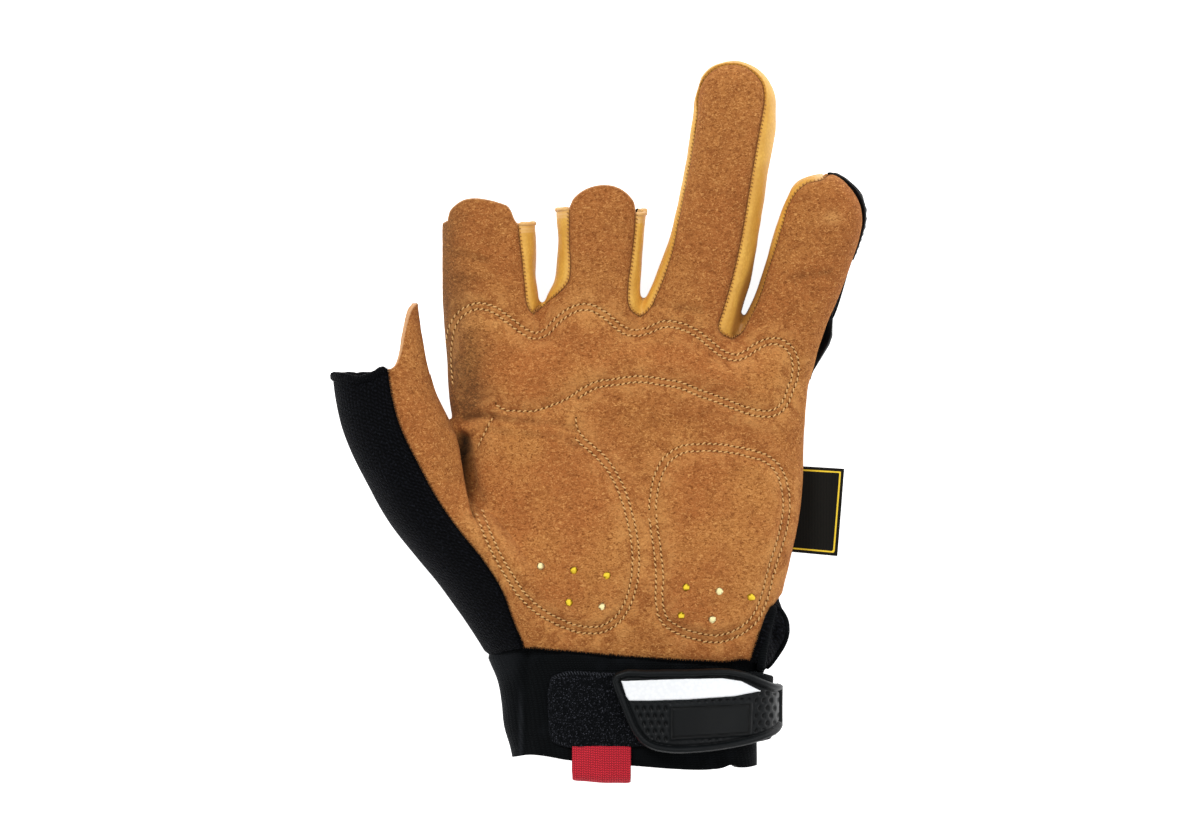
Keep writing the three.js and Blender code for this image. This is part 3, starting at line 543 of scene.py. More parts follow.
def keepWhere(bm, field):
    centres = np.array([f.calc_center_median()[:] for f in bm.faces]) / mm
    inside = field(centres) > 0
    bmesh.ops.delete(bm, geom=[f for f, keep in zip(bm.faces, inside) if not keep], context="FACES")


def biggestPart(bm):
    left = set(bm.faces)
    best = []
    while left:
        stack, part = [left.pop()], []
        while stack:
            face = stack.pop()
            part.append(face)
            for edge in face.edges:
                for other in edge.link_faces:
                    if other in left:
                        left.discard(other)
                        stack.append(other)
        if len(part) > len(best):
            best = part
    keep = set(best)
    bmesh.ops.delete(bm, geom=[f for f in bm.faces if f not in keep], context="FACES")


def cutFrom(bm, field, tidy=True):
    out = bm.copy()
    splitAt(out, field)
    keepWhere(out, field)
    if tidy:
        biggestPart(out)
        bmesh.ops.remove_doubles(out, verts=[v for v in out.verts if v.is_boundary], dist=glove["weld"] * mm)
    return out


trimmed = cutFrom(body, lambda co: np.minimum(-openField(co), -insideOutline(co, regions["belowCuff"])))
trimmedTree = BVHTree.FromBMesh(trimmed)
knit = cutFrom(trimmed, knitField)
leather = cutFrom(trimmed, leatherField)
rest = cutFrom(trimmed, lambda co: -np.maximum(knitField(co), leatherField(co)), tidy=False)


def sideField(low, high):
    def field(co):
        over = co[:, 2] - heightAlong(co, sideSeam)
        edges = [np.interp(co[:, 1], [25, 100, 130], line) for line in (low, high)]
        return np.min([over, co[:, 0] - edges[0], edges[1] - co[:, 0], co[:, 1] - 25], axis=0)
    return field


sideFields = [
    sideField((-40, -40, -40), (1, 1, 1)),
    sideField((1, 1, 1), (24, 44.3, 44.3)),
    sideField((24, 44.3, 44.3), (76, 76, 60)),
]
sides = [cutFrom(rest, field) for field in sideFields]
back = cutFrom(rest, lambda co: -np.max([f(co) for f in sideFields], axis=0))
print("panels cut:", [len(p.faces) for p in (leather, knit, back, *sides)])


# Relief of the panels
# Stitch rows on the palm, in mm as seen from above
knuckleRow = [
    (-35, 5.9), (-32.3, 3.6), (-27.4, 3), (-21.5, 3), (-16.5, 4.6), (-11.6, 6.6), (-6.6, 9.9), (-1.7, 12.5),
    (5, 13.5), (12.2, 14.5), (20.5, 13.5), (26.4, 12.5), (33, 9.9), (39.6, 7.6), (46.2, 5), (51.8, 3.3),
    (57.8, 3.6), (60.1, 5.9), (61.7, 9.9), (63.4, 14.9), (63.4, 19.8), (61.7, 23.1), (57.8, 25.1),
    (53.5, 24.1), (48.5, 20.8), (44.6, 19.5), (40.3, 20.8), (35.6, 24.4), (31.4, 27.7), (26.4, 30),
    (21.5, 30.7), (16.5, 28.7), (12.2, 27.7), (7.9, 28.4), (4.3, 31), (0.7, 34), (-4, 36.3), (-8.3, 35.6),
    (-13.2, 32.3), (-17.5, 28), (-21.5, 26.7), (-27.1, 29.4), (-31.4, 32.7), (-35.6, 35.6), (-40.3, 36.6),
    (-44.9, 34.6), (-47.6, 31), (-48.9, 25), (-49.1, 18), (-48.4, 11),
]
thenarRow = [
    (-7.9, 1.7), (-7.6, -2.3), (-5.6, -5.6), (-1.7, -8.9), (2.6, -13.2), (5.9, -18.2), (8.6, -24.1),
    (10.6, -30.7), (12.2, -38), (12.9, -45.5), (12.2, -53.8), (9.9, -61.4), (6.3, -66.7), (0.7, -70),
    (-6.6, -70), (-14.5, -67.3), (-21.1, -63.4), (-26.4, -58.4), (-31, -51.5), (-35, -44.6), (-38.3, -37.3),
    (-41.3, -29),
]
hypothenarRow = [
    (16.2, -30.4), (16.5, -24.8), (17.8, -18.8), (20.5, -13.2), (25.4, -9.2), (33, -7.9), (41.3, -8.3),
    (49.5, -9.9), (56.1, -12.2), (59.7, -15.8), (62, -21.8), (62.7, -28.1), (61.7, -35.6), (59.7, -42.9),
    (57.4, -50.2), (55.4, -58.4), (51.5, -66.7), (45.5, -71.3), (38.6, -73.3), (31.4, -72.3), (24.8, -70),
    (20.1, -66.3), (18.5, -61), (18.5, -51.2), (17.5, -41.3),
]
webRow = [(-34.6, 1.6), (-36.6, -1.3), (-38.3, -5), (-40.9, -10.2)]


def beside(path, distance):  # the same path moved to its left
    ahead = np.gradient(path, axis=0)
    ahead /= np.linalg.norm(ahead, axis=1)[:, None] + 1e-9
    return path + np.column_stack([-ahead[:, 1], ahead[:, 0]]) * distance


knucklePath = smoothPath(knuckleRow, 1.0)
knuckleOuter = beside(knucklePath, -2.0)
knuckleOuter = knuckleOuter[np.argmax(knuckleOuter[:, 0] > -8.4):]
thenarPath = smoothPath(thenarRow, 1.0)
thenarInner = beside(thenarPath, -2.2)[6:]
hypothenarPath = smoothPath(hypothenarRow, 1.0, closed=True)
hypothenarPath = np.vstack([hypothenarPath, hypothenarPath[:1]])
hypothenarInner = beside(hypothenarPath, -2.3)
stitchPaths = [knucklePath, knuckleOuter, thenarPath, thenarInner, hypothenarPath, hypothenarInner,
               smoothPath(webRow, 1.0)]
thenarClosing = [(-42.5, -18), (-40, -4), (-32, 1.5)]
padOutlines = [knucklePath, np.vstack([thenarPath, thenarClosing]), hypothenarPath[:-1]]


def layer(bm, name, values):
    key = bm.verts.layers.float.get(name) or bm.verts.layers.float.new(name)
    for vert, value in zip(bm.verts, values):
        vert[key] = float(value)


def edgeDistance(bm, accept=None):
    rim = [(a.co + b.co) / 2 for a, b in (e.verts for e in bm.edges if e.is_boundary)]
    rim += [v.co.copy() for v in bm.verts if v.is_boundary]
    if accept:
        rim = [co for co, ok in zip(rim, accept(np.array([co[:] for co in rim]) / mm)) if ok]
    if not rim:
        return np.full(len(bm.verts), 50.0)
    tree = KDTree(len(rim))
    for i, co in enumerate(rim):
        tree.insert(co, i)
    tree.balance()
    return np.array([tree.find(v.co)[2] for v in bm.verts]) / mm


def push(bm, heights):
    bm.normal_update()
    normals = np.array([v.normal[:] for v in bm.verts])
    moved = coordsOf(bm) + normals * np.asarray(heights)[:, None]
    for vert, co in zip(bm.verts, moved * mm):
        vert.co = co


def noiseField(co, size, seed=0):
    shift = Vector((seed * 17.3, seed * 5.1, seed * 9.7))
    return np.array([noise.noise(Vector(p) / size + shift) for p in co])


def isHem(co):
    return np.abs(openField(co)) < 0.6


def isSeam(co):
    return ~isHem(co)


webCrease = smoothPath([(-51, 0.5), (-47.2, -3), (-45.6, -7.5), (-44.6, -13), (-43.8, -19), (-42.2, -26),
                        (-40.6, -31)])
ridgeFold = smoothPath([(-46.4, -4.6), (-42, -2.6), (-37, -1.0), (-32, 1.4)])
padFold = smoothPath([(-45, 0.6), (-39, 1.6), (-31, 0.4), (-22, -0.6), (-14, -1.6), (-8, -3.4)])
heelFold = smoothPath([(20, -3), (34, -1), (48, -3.5), (60, -8), (66, -13)])
softFolds = [smoothPath(line) for line in (
    [(-36.3, -3.6), (-28, -4.4), (-19.8, -5.2), (-12, -6.6), (-6.6, -8.6)],
    [(17.5, 38.4), (22, 37.4), (27, 37.0), (33, 35.8)], [(63, 46.4), (69, 47.4), (76, 49)],
    [(-48, 54.5), (-43, 53.8), (-37, 52.2)], [(-47, 47), (-42, 46.2), (-38, 46.6)])]

leatherLook = {
    "seamDip": 0.75,
    "seamWidth": 1.3,
    "stitchDip": 0.5,
    "stitchWidth": 1.0,
    "webDip": 3.4,
    "webWidth": 2.8,
    "foldRise": 0.9,
    "padFoldDip": 1.1,
    "heelFoldDip": 0.35,
    "softFoldDip": 0.45,
    "waviness": 0.35,
    # each spot's place and size, and how strong it is; the spots paint shade and darker nap near the index
    # finger's root
    "dirtAndShadeSpots": [(-44.5, 8.5, 7, 9, 1.0), (-43, 24, 7, 9, 0.45), (-46, 40, 5, 10, 0.35)],
    "wornSpotAndHighlight": (76.6, 66.7, 3.2, 2.2),
}
co = coordsOf(leather)
padDepth = np.max([insideOutline(co, outline) for outline in padOutlines], axis=0)
stitchGap = np.min([nearPath(co, path) for path in stitchPaths], axis=0)
palmSide = smoothstep(co[:, 2], 17, 25)
toSeam = edgeDistance(leather, isSeam)
toRim = edgeDistance(leather, isHem)
rise = smoothstep(padDepth, -1, glove["padEdge"]) * glove["padRise"] * palmSide * (co[:, 0] > -50)
rise -= leatherLook["stitchDip"] * bell(stitchGap, leatherLook["stitchWidth"]) * palmSide
rise -= leatherLook["seamDip"] * bell(toSeam, leatherLook["seamWidth"])
creaseGap = nearPath(co, webCrease)
toRight = co[:, 0] > np.interp(co[:, 1], webCrease[::-1, 1], webCrease[::-1, 0])
creaseWidth = np.where(toRight, leatherLook["webWidth"], 0.9)
creaseFade = palmSide * smoothstep(co[:, 1], -36, -26) * smoothstep(-co[:, 1], 2.5, 5.5)
rise -= leatherLook["webDip"] * bell(creaseGap, creaseWidth) * creaseFade
rise += 0.8 * bell(creaseGap - 2.2, 1.6) * creaseFade * ~toRight
foldGap = nearPath(co, padFold)
creaseWide = np.interp(co[:, 1], [-30, -18, -8, -4], [0.8, 1.0, 1.9, 1.4])
creaseShade = bell(creaseGap, np.where(toRight, creaseWide, 0.6)) * creaseFade
softGap = np.min([nearPath(co, line) for line in softFolds], axis=0)
foldShade = np.interp(co[:, 0], [-46, -40, -20, -8], [0.6, 0.45, 0.2, 0.1]) * bell(foldGap, 1.1)
foldShade = np.maximum(foldShade, 0.2 * bell(softGap, 1.3) * (0.7 + noiseField(co, 5, 21)))
rise -= leatherLook["softFoldDip"] * bell(softGap, 1.4) * palmSide
# painted shade in the thumb web's crease and along the palm's folds
layer(leather, "creaseAndFoldShade", np.maximum(creaseShade, foldShade * palmSide))
rise += leatherLook["foldRise"] * bell(nearPath(co, ridgeFold), 1.2) * palmSide
rise -= leatherLook["padFoldDip"] * bell(foldGap, 1.4) * palmSide
rise -= leatherLook["heelFoldDip"] * bell(nearPath(co, heelFold), 3.0) * palmSide
rise += leatherLook["waviness"] * (noiseField(co, 16) + 0.4 * noiseField(co, 6, 3))
layer(leather, "toSeam", toSeam)
layer(leather, "toRim", toRim)
layer(leather, "padDepth", padDepth * palmSide)
layer(leather, "stitchGap", stitchGap + (1 - palmSide) * 20)
# painted shade along the index finger's left edge and round its root, together with darker, dirty nap there
dirtyNapAndShade = 0.7 * np.exp(-np.clip(co[:, 0] + 51, 0, None) / 4.5) * smoothstep(co[:, 1], -2, 8)
for x, y, wide, high, strength in leatherLook["dirtAndShadeSpots"]:
    dirtyNapAndShade += strength * blot(co, x, y, wide, high)
dirtyNapAndShade *= co[:, 0] > np.interp(co[:, 1], [-2, 3, 12, 22], [-50.2, -51.0, -51.6, -54.5])
dirtyNapAndShade *= smoothstep(co[:, 1], -3, 1.5)
dirtyNapAndShade = np.clip(dirtyNapAndShade * 1.2, 0, 1) * 0.82
layer(leather, "dirtyNapAndShade", dirtyNapAndShade)
# a lighter spot on the little fingertip: partly wear, partly a painted highlight
layer(leather, "worn", 0.75 * blot(co, *leatherLook["wornSpotAndHighlight"]) * palmSide)
push(leather, rise)


# The perforations
def dotField(co):
    gaps = [np.hypot(co[:, 0] - x, co[:, 1] - y) for x, y in dotPlaces]
    return np.where(co[:, 2] > 20, np.min(gaps, axis=0) - dotRadius, 5.0)


leather = cutFrom(leather, dotField)


def boundaryLoops(bm):
    edges = dict.fromkeys(e for e in bm.edges if e.is_boundary)
    loops = []
    while edges:
        edge = edges.popitem()[0]
        first, vert = edge.verts
        chain = [first, vert]
        while True:
            ahead = next((e for e in vert.link_edges if e in edges), None)
            if not ahead:
                break
            edges.pop(ahead)
            vert = ahead.other_vert(vert)
            chain.append(vert)
        loops.append(([v.co.copy() for v in chain], [v.normal.copy() for v in chain]))
    return loops


def template(maker):
    bm = bmesh.new()
    maker(bm)
    bm.verts.index_update()
    shape = [v.co.copy() for v in bm.verts], [[v.index for v in f.verts] for f in bm.faces]
    bm.free()
    return shape


def stamp(bm, shape, matrix, materialIndex=0):  # puts one more copy of a small shape into bm
    verts = [bm.verts.new(matrix @ co) for co in shape[0]]
    for face in shape[1]:
        made = bm.faces.new([verts[i] for i in face])
        made.material_index = materialIndex
        made.smooth = True


def restOnFloor(bm):
    for vert in bm.verts:
        vert.co.z = max(vert.co.z, 0.0)


def finish(name, bm, materials, replaces=(), steps=()):
    if steps:
        bm = throughModifiers(bm, *steps)
    restOnFloor(bm)
    mesh = bpy.data.meshes.new(name)
    bm.to_mesh(mesh)
    bm.free()
    piece = bpy.data.objects.new(name, mesh)
    scene.collection.objects.link(piece)
    for material in materials:
        mesh.materials.append(material)
    mesh.shade_smooth()
    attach(piece, "root")
    if replaces:
        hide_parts(*replaces)
    return piece


def wall(thickness, soften=0.25, segments=2):
    return (("SOLIDIFY", {"thickness": thickness * mm, "offset": -1.0, "use_even_offset": False}),
            ("BEVEL", {"width": soften * mm, "segments": segments, "limit_method": "ANGLE",
                       "angle_limit": radians(55), "profile": 0.5, "material": -1}))


# Leather
suede = {
    "light": srgb(212, 154, 90),
    "golden": srgb(184, 122, 64),
    "base": srgb(170, 103, 53),
    "deep": srgb(122, 69, 30),
    "patch": srgb(146, 86, 42),
    # darker dirty nap and painted shade, also used for the painted shade along seams
    "dirtyNapAndShade": srgb(84, 60, 36),
    # near black for the painted shade in creases and folds
    "creaseAndFoldShade": srgb(34, 22, 12),
    "rawEdge": srgb(220, 172, 126),
    "patchSize": 190.0,
    "fibreSize": 1350.0,
}
suedeMaterial, tree, shader = newMaterial("suede", Roughness=0.95, Sheen_Weight=0.08, Sheen_Roughness=0.6,
                                          Sheen_Tint=srgb(235, 190, 140), Specular_IOR_Level=0.12)
nap = addNode(tree, "ShaderNodeGroup", node_tree=napGroup)
tree.links.new(objectCoords(tree), nap.inputs["Vector"])
nap.inputs["Patch Size"].default_value = suede["patchSize"]
nap.inputs["Fibre Size"].default_value = suede["fibreSize"]
colour = mixColour(tree, rangeMap(tree, nap.outputs["Tone"], 0.38, 0.62), suede["base"], suede["golden"])
patchShade = rangeMap(tree, nap.outputs["Patches"], 0.36, 0.54, 0.75, 0.0)
padClear = rangeMap(tree, attribute(tree, "padDepth"), -1.0, 8.0, 1.0, 0.55)
colour = mixColour(tree, times(tree, patchShade, padClear), colour, suede["patch"])
fingerShade = rangeMap(tree, attribute(tree, "padDepth"), -9.0, 1.0, 0.3, 0.0)
colour = mixColour(tree, fingerShade, colour, suede["patch"])
# lighter fingertip spot: wear and a painted highlight
colour = mixColour(tree, attribute(tree, "worn"), colour, suede["light"])
colour = mixColour(tree, rangeMap(tree, nap.outputs["Fibres"], 0.34, 0.51, 1.0, 0.0), colour, suede["deep"])
colour = mixColour(tree, rangeMap(tree, nap.outputs["Fibres"], 0.52, 0.70, 0.0, 0.9), colour, suede["light"])
# darker dirty nap and painted shade on the index side, broken up by the fibres
sideDirtAndShade = times(tree, attribute(tree, "dirtyNapAndShade"),
                 rangeMap(tree, nap.outputs["Fibres"], 0.38, 0.62, 1.0, 0.55))
colour = mixColour(tree, sideDirtAndShade, colour, suede["dirtyNapAndShade"])
seamShade = rangeMap(tree, attribute(tree, "toSeam"), 0.0, 1.1, 0.6, 0.0)
colour = mixColour(tree, seamShade, colour, suede["dirtyNapAndShade"])
rubbed = times(tree, rangeMap(tree, attribute(tree, "stitchGap"), 2.0, 7.0, 0.35, 0.0),
               rangeMap(tree, nap.outputs["Patches"], 0.4, 0.65))
colour = mixColour(tree, rubbed, colour, suede["light"])
stitchShade = rangeMap(tree, attribute(tree, "stitchGap"), 0.1, 1.0, 0.25, 0.0)
colour = mixColour(tree, stitchShade, colour, suede["deep"])
# painted shade in the web crease and the folds
colour = mixColour(tree, attribute(tree, "creaseAndFoldShade"), colour, suede["creaseAndFoldShade"])
rawEdge = rangeMap(tree, attribute(tree, "toRim"), 0.1, 0.6, 0.7, 0.0)
colour = mixColour(tree, rawEdge, colour, suede["rawEdge"])
tree.links.new(colour, shader.inputs["Base Color"])
groove = rangeMap(tree, attribute(tree, "stitchGap"), 0.0, 0.6, 0.0, 1.0)
height = maths(tree, "ADD", nap.outputs["Height"], times(tree, groove, 0.6))
bumpTo(tree, shader, height, 0.8, 0.0007)

leatherTree = BVHTree.FromBMesh(leather)
leather.normal_update()
leatherLoops = boundaryLoops(leather)
leatherPiece = finish("palmAndThumbLeather", leather, [suedeMaterial],
                      ("palm_leather", "thumb_leather"), wall(glove["leatherWall"]))
print("leather made,", len(leatherPiece.data.polygons), "faces")


# Side walls between the fingers
goatskin = {
    "base": srgb(226, 176, 76),
    "deep": srgb(196, 138, 52),
    "pale": srgb(222, 176, 114),
    "shade": srgb(134, 82, 32),
    "grainSize": 1050.0,
}
goatskinMaterial, tree, shader = newMaterial("goatskin", Roughness=0.55, Specular_IOR_Level=0.4)
tone = texture(tree, "Noise", 110.0, Detail=3.0)
grain = texture(tree, "Voronoi", goatskin["grainSize"])
colour = mixColour(tree, rangeMap(tree, tone.outputs["Fac"], 0.35, 0.7), goatskin["deep"], goatskin["base"])
colour = mixColour(tree, 0.5, colour, goatskin["base"])
grainShade = rangeMap(tree, grain.outputs["Distance"], 0.25, 0.75, 0.0, 0.35)
colour = mixColour(tree, grainShade, colour, goatskin["deep"])
colour = mixColour(tree, attribute(tree, "lowShade"), colour, goatskin["shade"])
colour = mixColour(tree, attribute(tree, "paleStrip"), colour, goatskin["pale"])
hemFolds = rangeMap(tree, maths(tree, "PINGPONG", attribute(tree, "toRim"), 0.55), 0.1, 0.45, 0.35, 0.8)
hemLines = times(tree, rangeMap(tree, attribute(tree, "toRim"), 2.4, 3.3, 1.0, 0.0), hemFolds)
colour = mixColour(tree, hemLines, colour, goatskin["pale"])
wallSeamShade = rangeMap(tree, attribute(tree, "toSeam"), 0.0, 0.8, 0.7, 0.0)
colour = mixColour(tree, wallSeamShade, colour, goatskin["deep"])
tree.links.new(colour, shader.inputs["Base Color"])
bumpTo(tree, shader, grain.outputs["Distance"], 0.25, 0.0003)

sideLoops = []
sideNames = ["IndexMiddle", "MiddleRing", "RingLittle"]
sideNodes = ["fourchette_index_middle", "fourchette_middle_ring", "fourchette_ring_little"]
for bm, name, node in zip(sides, sideNames, sideNodes):
    co = coordsOf(bm)
    toSeam = edgeDistance(bm, isSeam)
    layer(bm, "toSeam", toSeam)
    layer(bm, "toRim", edgeDistance(bm, isHem))
    low = 0.25 * smoothstep(24 - co[:, 2], 2, 14)
    if name == "RingLittle":   # the wall falls into shade towards the little finger
        middleLine = np.interp(co[:, 1], [30, 42, 50, 60], [42.5, 45.6, 48.2, 51.2])
        low += 0.75 * smoothstep(-co[:, 1], -66, -46) * smoothstep(co[:, 0] - middleLine, 0, 1.6)
    layer(bm, "lowShade", np.clip(low, 0, 0.85))
    onLittle = smoothstep(co[:, 0] - 0.42 * (co[:, 1] - 40), 53, 55)
    layer(bm, "paleStrip", 0.9 * onLittle * smoothstep(co[:, 1], 44, 56))
    push(bm, -0.75 * bell(toSeam, 1.1) * (1 - smoothstep(co[:, 1], 100, 108)) + 0.35 * noiseField(co, 7, 5))
    bm.normal_update()
    sideLoops += boundaryLoops(bm)
    finish("sideWall" + name, bm, [goatskinMaterial], (node,), wall(1.6))
print("side walls made")


# Knit and back panels
def clothCoords(bm, rows, slope=1.0):
    co = coordsOf(bm)
    sections = smoothRows(rows, co[:, 1])
    cx, cz = (sections[:, 1] + sections[:, 2]) / 2, (sections[:, 3] + sections[:, 4]) / 2
    radius = (sections[:, 2] - sections[:, 1] + sections[:, 4] - sections[:, 3]) / 4
    layer(bm, "across", np.arctan2(co[:, 2] - cz, cx - co[:, 0]) * radius)
    layer(bm, "along", co[:, 1] * slope)


blackKnit = {
    "base": srgb(13, 14, 19),
    "gap": srgb(1, 1, 2),
    "sheenTint": srgb(60, 64, 80),
    "rows": 0.62,
    "columns": 0.8,
    "lean": 0.3,
    "slant": 0.45,
}
knitMaterial, tree, shader = newMaterial("blackKnit", Roughness=0.9, Sheen_Weight=0.07, Sheen_Roughness=0.4,
                                         Sheen_Tint=blackKnit["sheenTint"], Specular_IOR_Level=0.08)
drift = texture(tree, "Noise", 190.0, Detail=2.0)
leaning = maths(tree, "MULTIPLY_ADD", attribute(tree, "across"), blackKnit["slant"], attribute(tree, "along"))
shifted = maths(tree, "MULTIPLY_ADD", drift.outputs["Fac"], 2.6, leaning)
loops = loopRows(tree, blackKnit, shifted)
fuzz = texture(tree, "Noise", 1400.0, Detail=3.0)
colour = mixColour(tree, loops, blackKnit["gap"], blackKnit["base"])
colour = mixColour(tree, rangeMap(tree, fuzz.outputs["Fac"], 0.55, 0.75, 0.0, 0.6), colour, srgb(34, 36, 44))
tree.links.new(colour, shader.inputs["Base Color"])
height = maths(tree, "ADD", loops, times(tree, fuzz.outputs["Fac"], 0.5))
bumpTo(tree, shader, height, 0.9, 0.0006)

for bm, name, node, rows in ((knit, "thumbKnit", "thumb_knit", thumbRows),
                             (back, "backPanel", "back_panel", palmRows)):
    co = coordsOf(bm)
    toSeam = edgeDistance(bm, isSeam)
    layer(bm, "toSeam", toSeam)
    clothCoords(bm, rows, 1.2 if name == "thumbKnit" else 1.0)
    hollow = 2.2 * blot(co, 58.6, -71, 1.8, 5)
    push(bm, -0.8 * bell(toSeam, 1.2) + 0.3 * noiseField(co, 14, 7) - hollow)
    if bm is knit:
        bm.normal_update()
        knitLoops = boundaryLoops(bm)
    finish(name, bm, [knitMaterial], (node,), wall(glove["knitWall"]))
print("knit and back made")


# Guards on the back
mouldedRubber = {"base": srgb(9, 12, 14), "worn": srgb(17, 21, 23), "pitShadeAndDarkPlate": srgb(2, 3, 3), "specks": 1200.0}
rubberMaterial, tree, shader = newMaterial("mouldedRubber", Roughness=0.42, Specular_IOR_Level=0.17)
rubberNoise = texture(tree, "Noise", mouldedRubber["specks"], Detail=2.0)
tone = texture(tree, "Noise", 60.0, Detail=4.0)
colour = mixColour(tree, rangeMap(tree, tone.outputs["Fac"], 0.35, 0.75, 0.0, 0.5), mouldedRubber["base"],
                   mouldedRubber["worn"])
# painted shade in the dimples and grooves, and the plate a darker tone
colour = mixColour(tree, attribute(tree, "pitShadeAndDarkPlate"), colour, mouldedRubber["pitShadeAndDarkPlate"])
tree.links.new(colour, shader.inputs["Base Color"])
tree.links.new(rangeMap(tree, tone.outputs["Fac"], 0.3, 0.7, 0.42, 0.56), shader.inputs["Roughness"])
bumpTo(tree, shader, rubberNoise.outputs["Fac"], 0.12, 0.0002)

guard = {
    "knuckleThick": 4.3,
    "fingerThick": 2.4,
    "edgeRound": 1.6,
    "upTo": 16.5,     # height of the guards' upper limit at the glove's side
    "lift": 0.3,
    "ridges": 0.25,
}
knuckleSpan = [(-46, 14.5, 28), (-40, 12.6, 31), (-30, 12.4, 32.6), (-19, 12.3, 29.6), (-8, 12.6, 33),
               (0, 13, 34.4), (8, 12.6, 32.6), (14, 12.2, 27.6), (22, 12, 30.6), (30, 11.6, 31),
               (38, 10.8, 27), (44, 10.2, 22.6), (50, 10.4, 26.4), (58, 11, 31.4), (72, 14, 34), (84, 16, 34)]
fingerSpan = [(53, 72, 96), (57, 64.5, 96), (66, 66, 96), (74, 70, 96), (79, 74.5, 96), (90, 76, 96)]


def spanOutline(span):
    rows = np.array(span, float)
    top, bottom = smoothPath(rows[:, [0, 2]]), smoothPath(rows[:, [0, 1]])
    return np.vstack([top, bottom[::-1]])


def crown(distance, thickness, rounding):  # height of a moulding with a rounded edge
    t = np.clip(distance / rounding, 0, 1)
    return thickness - rounding * 0.8 + rounding * 0.8 * np.sqrt(np.clip(1 - (1 - t) ** 2, 0, 1))


for name, node, outline, thick in (
        ("knuckleGuard", "knuckle_guard", spanOutline(knuckleSpan), guard["knuckleThick"]),
        ("littleFingerGuard", "finger_guard", between(fingerSpan), guard["fingerThick"])):
    piece = cutFrom(body, lambda co: np.minimum(insideOutline(co, outline), guard["upTo"] - co[:, 2]))
    grow(piece, guard["lift"])
    toEdge = edgeDistance(piece)
    co = coordsOf(piece)
    heights = crown(toEdge, thick, guard["edgeRound"])
    if name == "knuckleGuard":   # only a sliver shows past the palm's right edge
        sliver = np.clip(np.minimum((co[:, 1] - 15.5) / 10, (34.5 - co[:, 1]) / 6), 0, 1) * 0.55 - 0.05
        rightEnd = smoothstep(co[:, 0], 60, 71)
        heights *= 1 - rightEnd + rightEnd * sliver
        heights += guard["ridges"] * np.sin(co[:, 0] * 1.6) * smoothstep(toEdge, 1.5, 3) * (1 - rightEnd)
    else:
        heights *= np.interp(co[:, 1], [53, 58, 66, 71, 76, 79, 82], [0.1, 0.2, 0.4, 0.55, 0.65, 0.45, 0.2])
        heights += 0.22 * np.sin((co[:, 0] + co[:, 1]) * 2.3) * smoothstep(toEdge, 0.8, 1.6)
    layer(piece, "pitShadeAndDarkPlate", np.zeros(len(co)))
    push(piece, heights)
    restOnFloor(piece)
    finish(name, piece, [rubberMaterial], (node,), wall(thick - 0.6, 0.3))
print("guards made")


# Cuff
neoprene = {"base": srgb(9, 12, 14), "gap": srgb(2, 3, 4), "rows": 1.3, "columns": 1.1, "lean": 0.5,
            "wall": 3.0}
neopreneMaterial, tree, shader = newMaterial("neoprene", Roughness=0.85, Sheen_Weight=0.04,
                                             Sheen_Roughness=0.5, Sheen_Tint=srgb(110, 120, 135),
                                             Specular_IOR_Level=0.08)
loops = loopRows(tree, neoprene)
fuzz = texture(tree, "Noise", 120.0, Detail=5.0)
colour = mixColour(tree, loops, neoprene["gap"], neoprene["base"])
colour = mixColour(tree, rangeMap(tree, fuzz.outputs["Fac"], 0.45, 0.8, 0.0, 0.35), colour, srgb(24, 27, 31))
# painted sheen: a lighter streak on the cuff's fold and a lighter left end
colour = mixColour(tree, times(tree, attribute(tree, "sheenStreak"), 0.4), colour, srgb(52, 54, 58))
tree.links.new(colour, shader.inputs["Base Color"])
bumpTo(tree, shader, loops, 0.6, 0.0003)


def faceOutward(bm):
    top = max(bm.faces, key=lambda f: f.calc_center_median().z)
    if top.normal.z < 0:
        bmesh.ops.reverse_faces(bm, faces=bm.faces)


def wristForm(rows, step=1.0, around=240, yRange=None):
    bm = bmesh.new()
    addLoft(bm, rows, step=step, around=around, powerTop=2.9, powerBottom=3.2, capped=False, yRange=yRange)
    faceOutward(bm)
    return bm


cuffForm = wristForm(cuffRows)
cuffTopLine = below([(-100, -78.2), (-38, -77.7), (-25.5, -75.2), (-13, -75.9), (13, -78.0), (33, -78.7),
                     (41, -78.6), (48, -78.0), (56, -77), (100, -77)])
cuff = cutFrom(cuffForm, lambda co: np.minimum(insideOutline(co, cuffTopLine),
                                                -insideOutline(co, regions["belowHem"])))
co = coordsOf(cuff)
clothCoords(cuff, cuffRows)
foldLines = 0.7 * bell(co[:, 0] + 24.8, 1.3) + 0.35 * bell(co[:, 0] + 26 + co[:, 1] * 0.03, 1.4)
toTop = insideOutline(co, cuffTopLine)
# painted sheen along the fold at the cuff's left, and the cuff lighter towards its left end
layer(cuff, "sheenStreak", bell(co[:, 0] + 26.3, 0.5) * smoothstep(-co[:, 1], 84, 100) * (co[:, 2] > 20)
      + 0.35 * smoothstep(-co[:, 0], 25, 30) * smoothstep(co[:, 1], -90, -80))
push(cuff, 0.35 * noiseField(co, 12, 11) - foldLines * (co[:, 2] > 20) - 0.7 * bell(toTop, 0.7))
cuffTree = BVHTree.FromBMesh(cuff)
finish("cuff", cuff, [neopreneMaterial], ("cuff",), wall(neoprene["wall"], 0.9, 3))


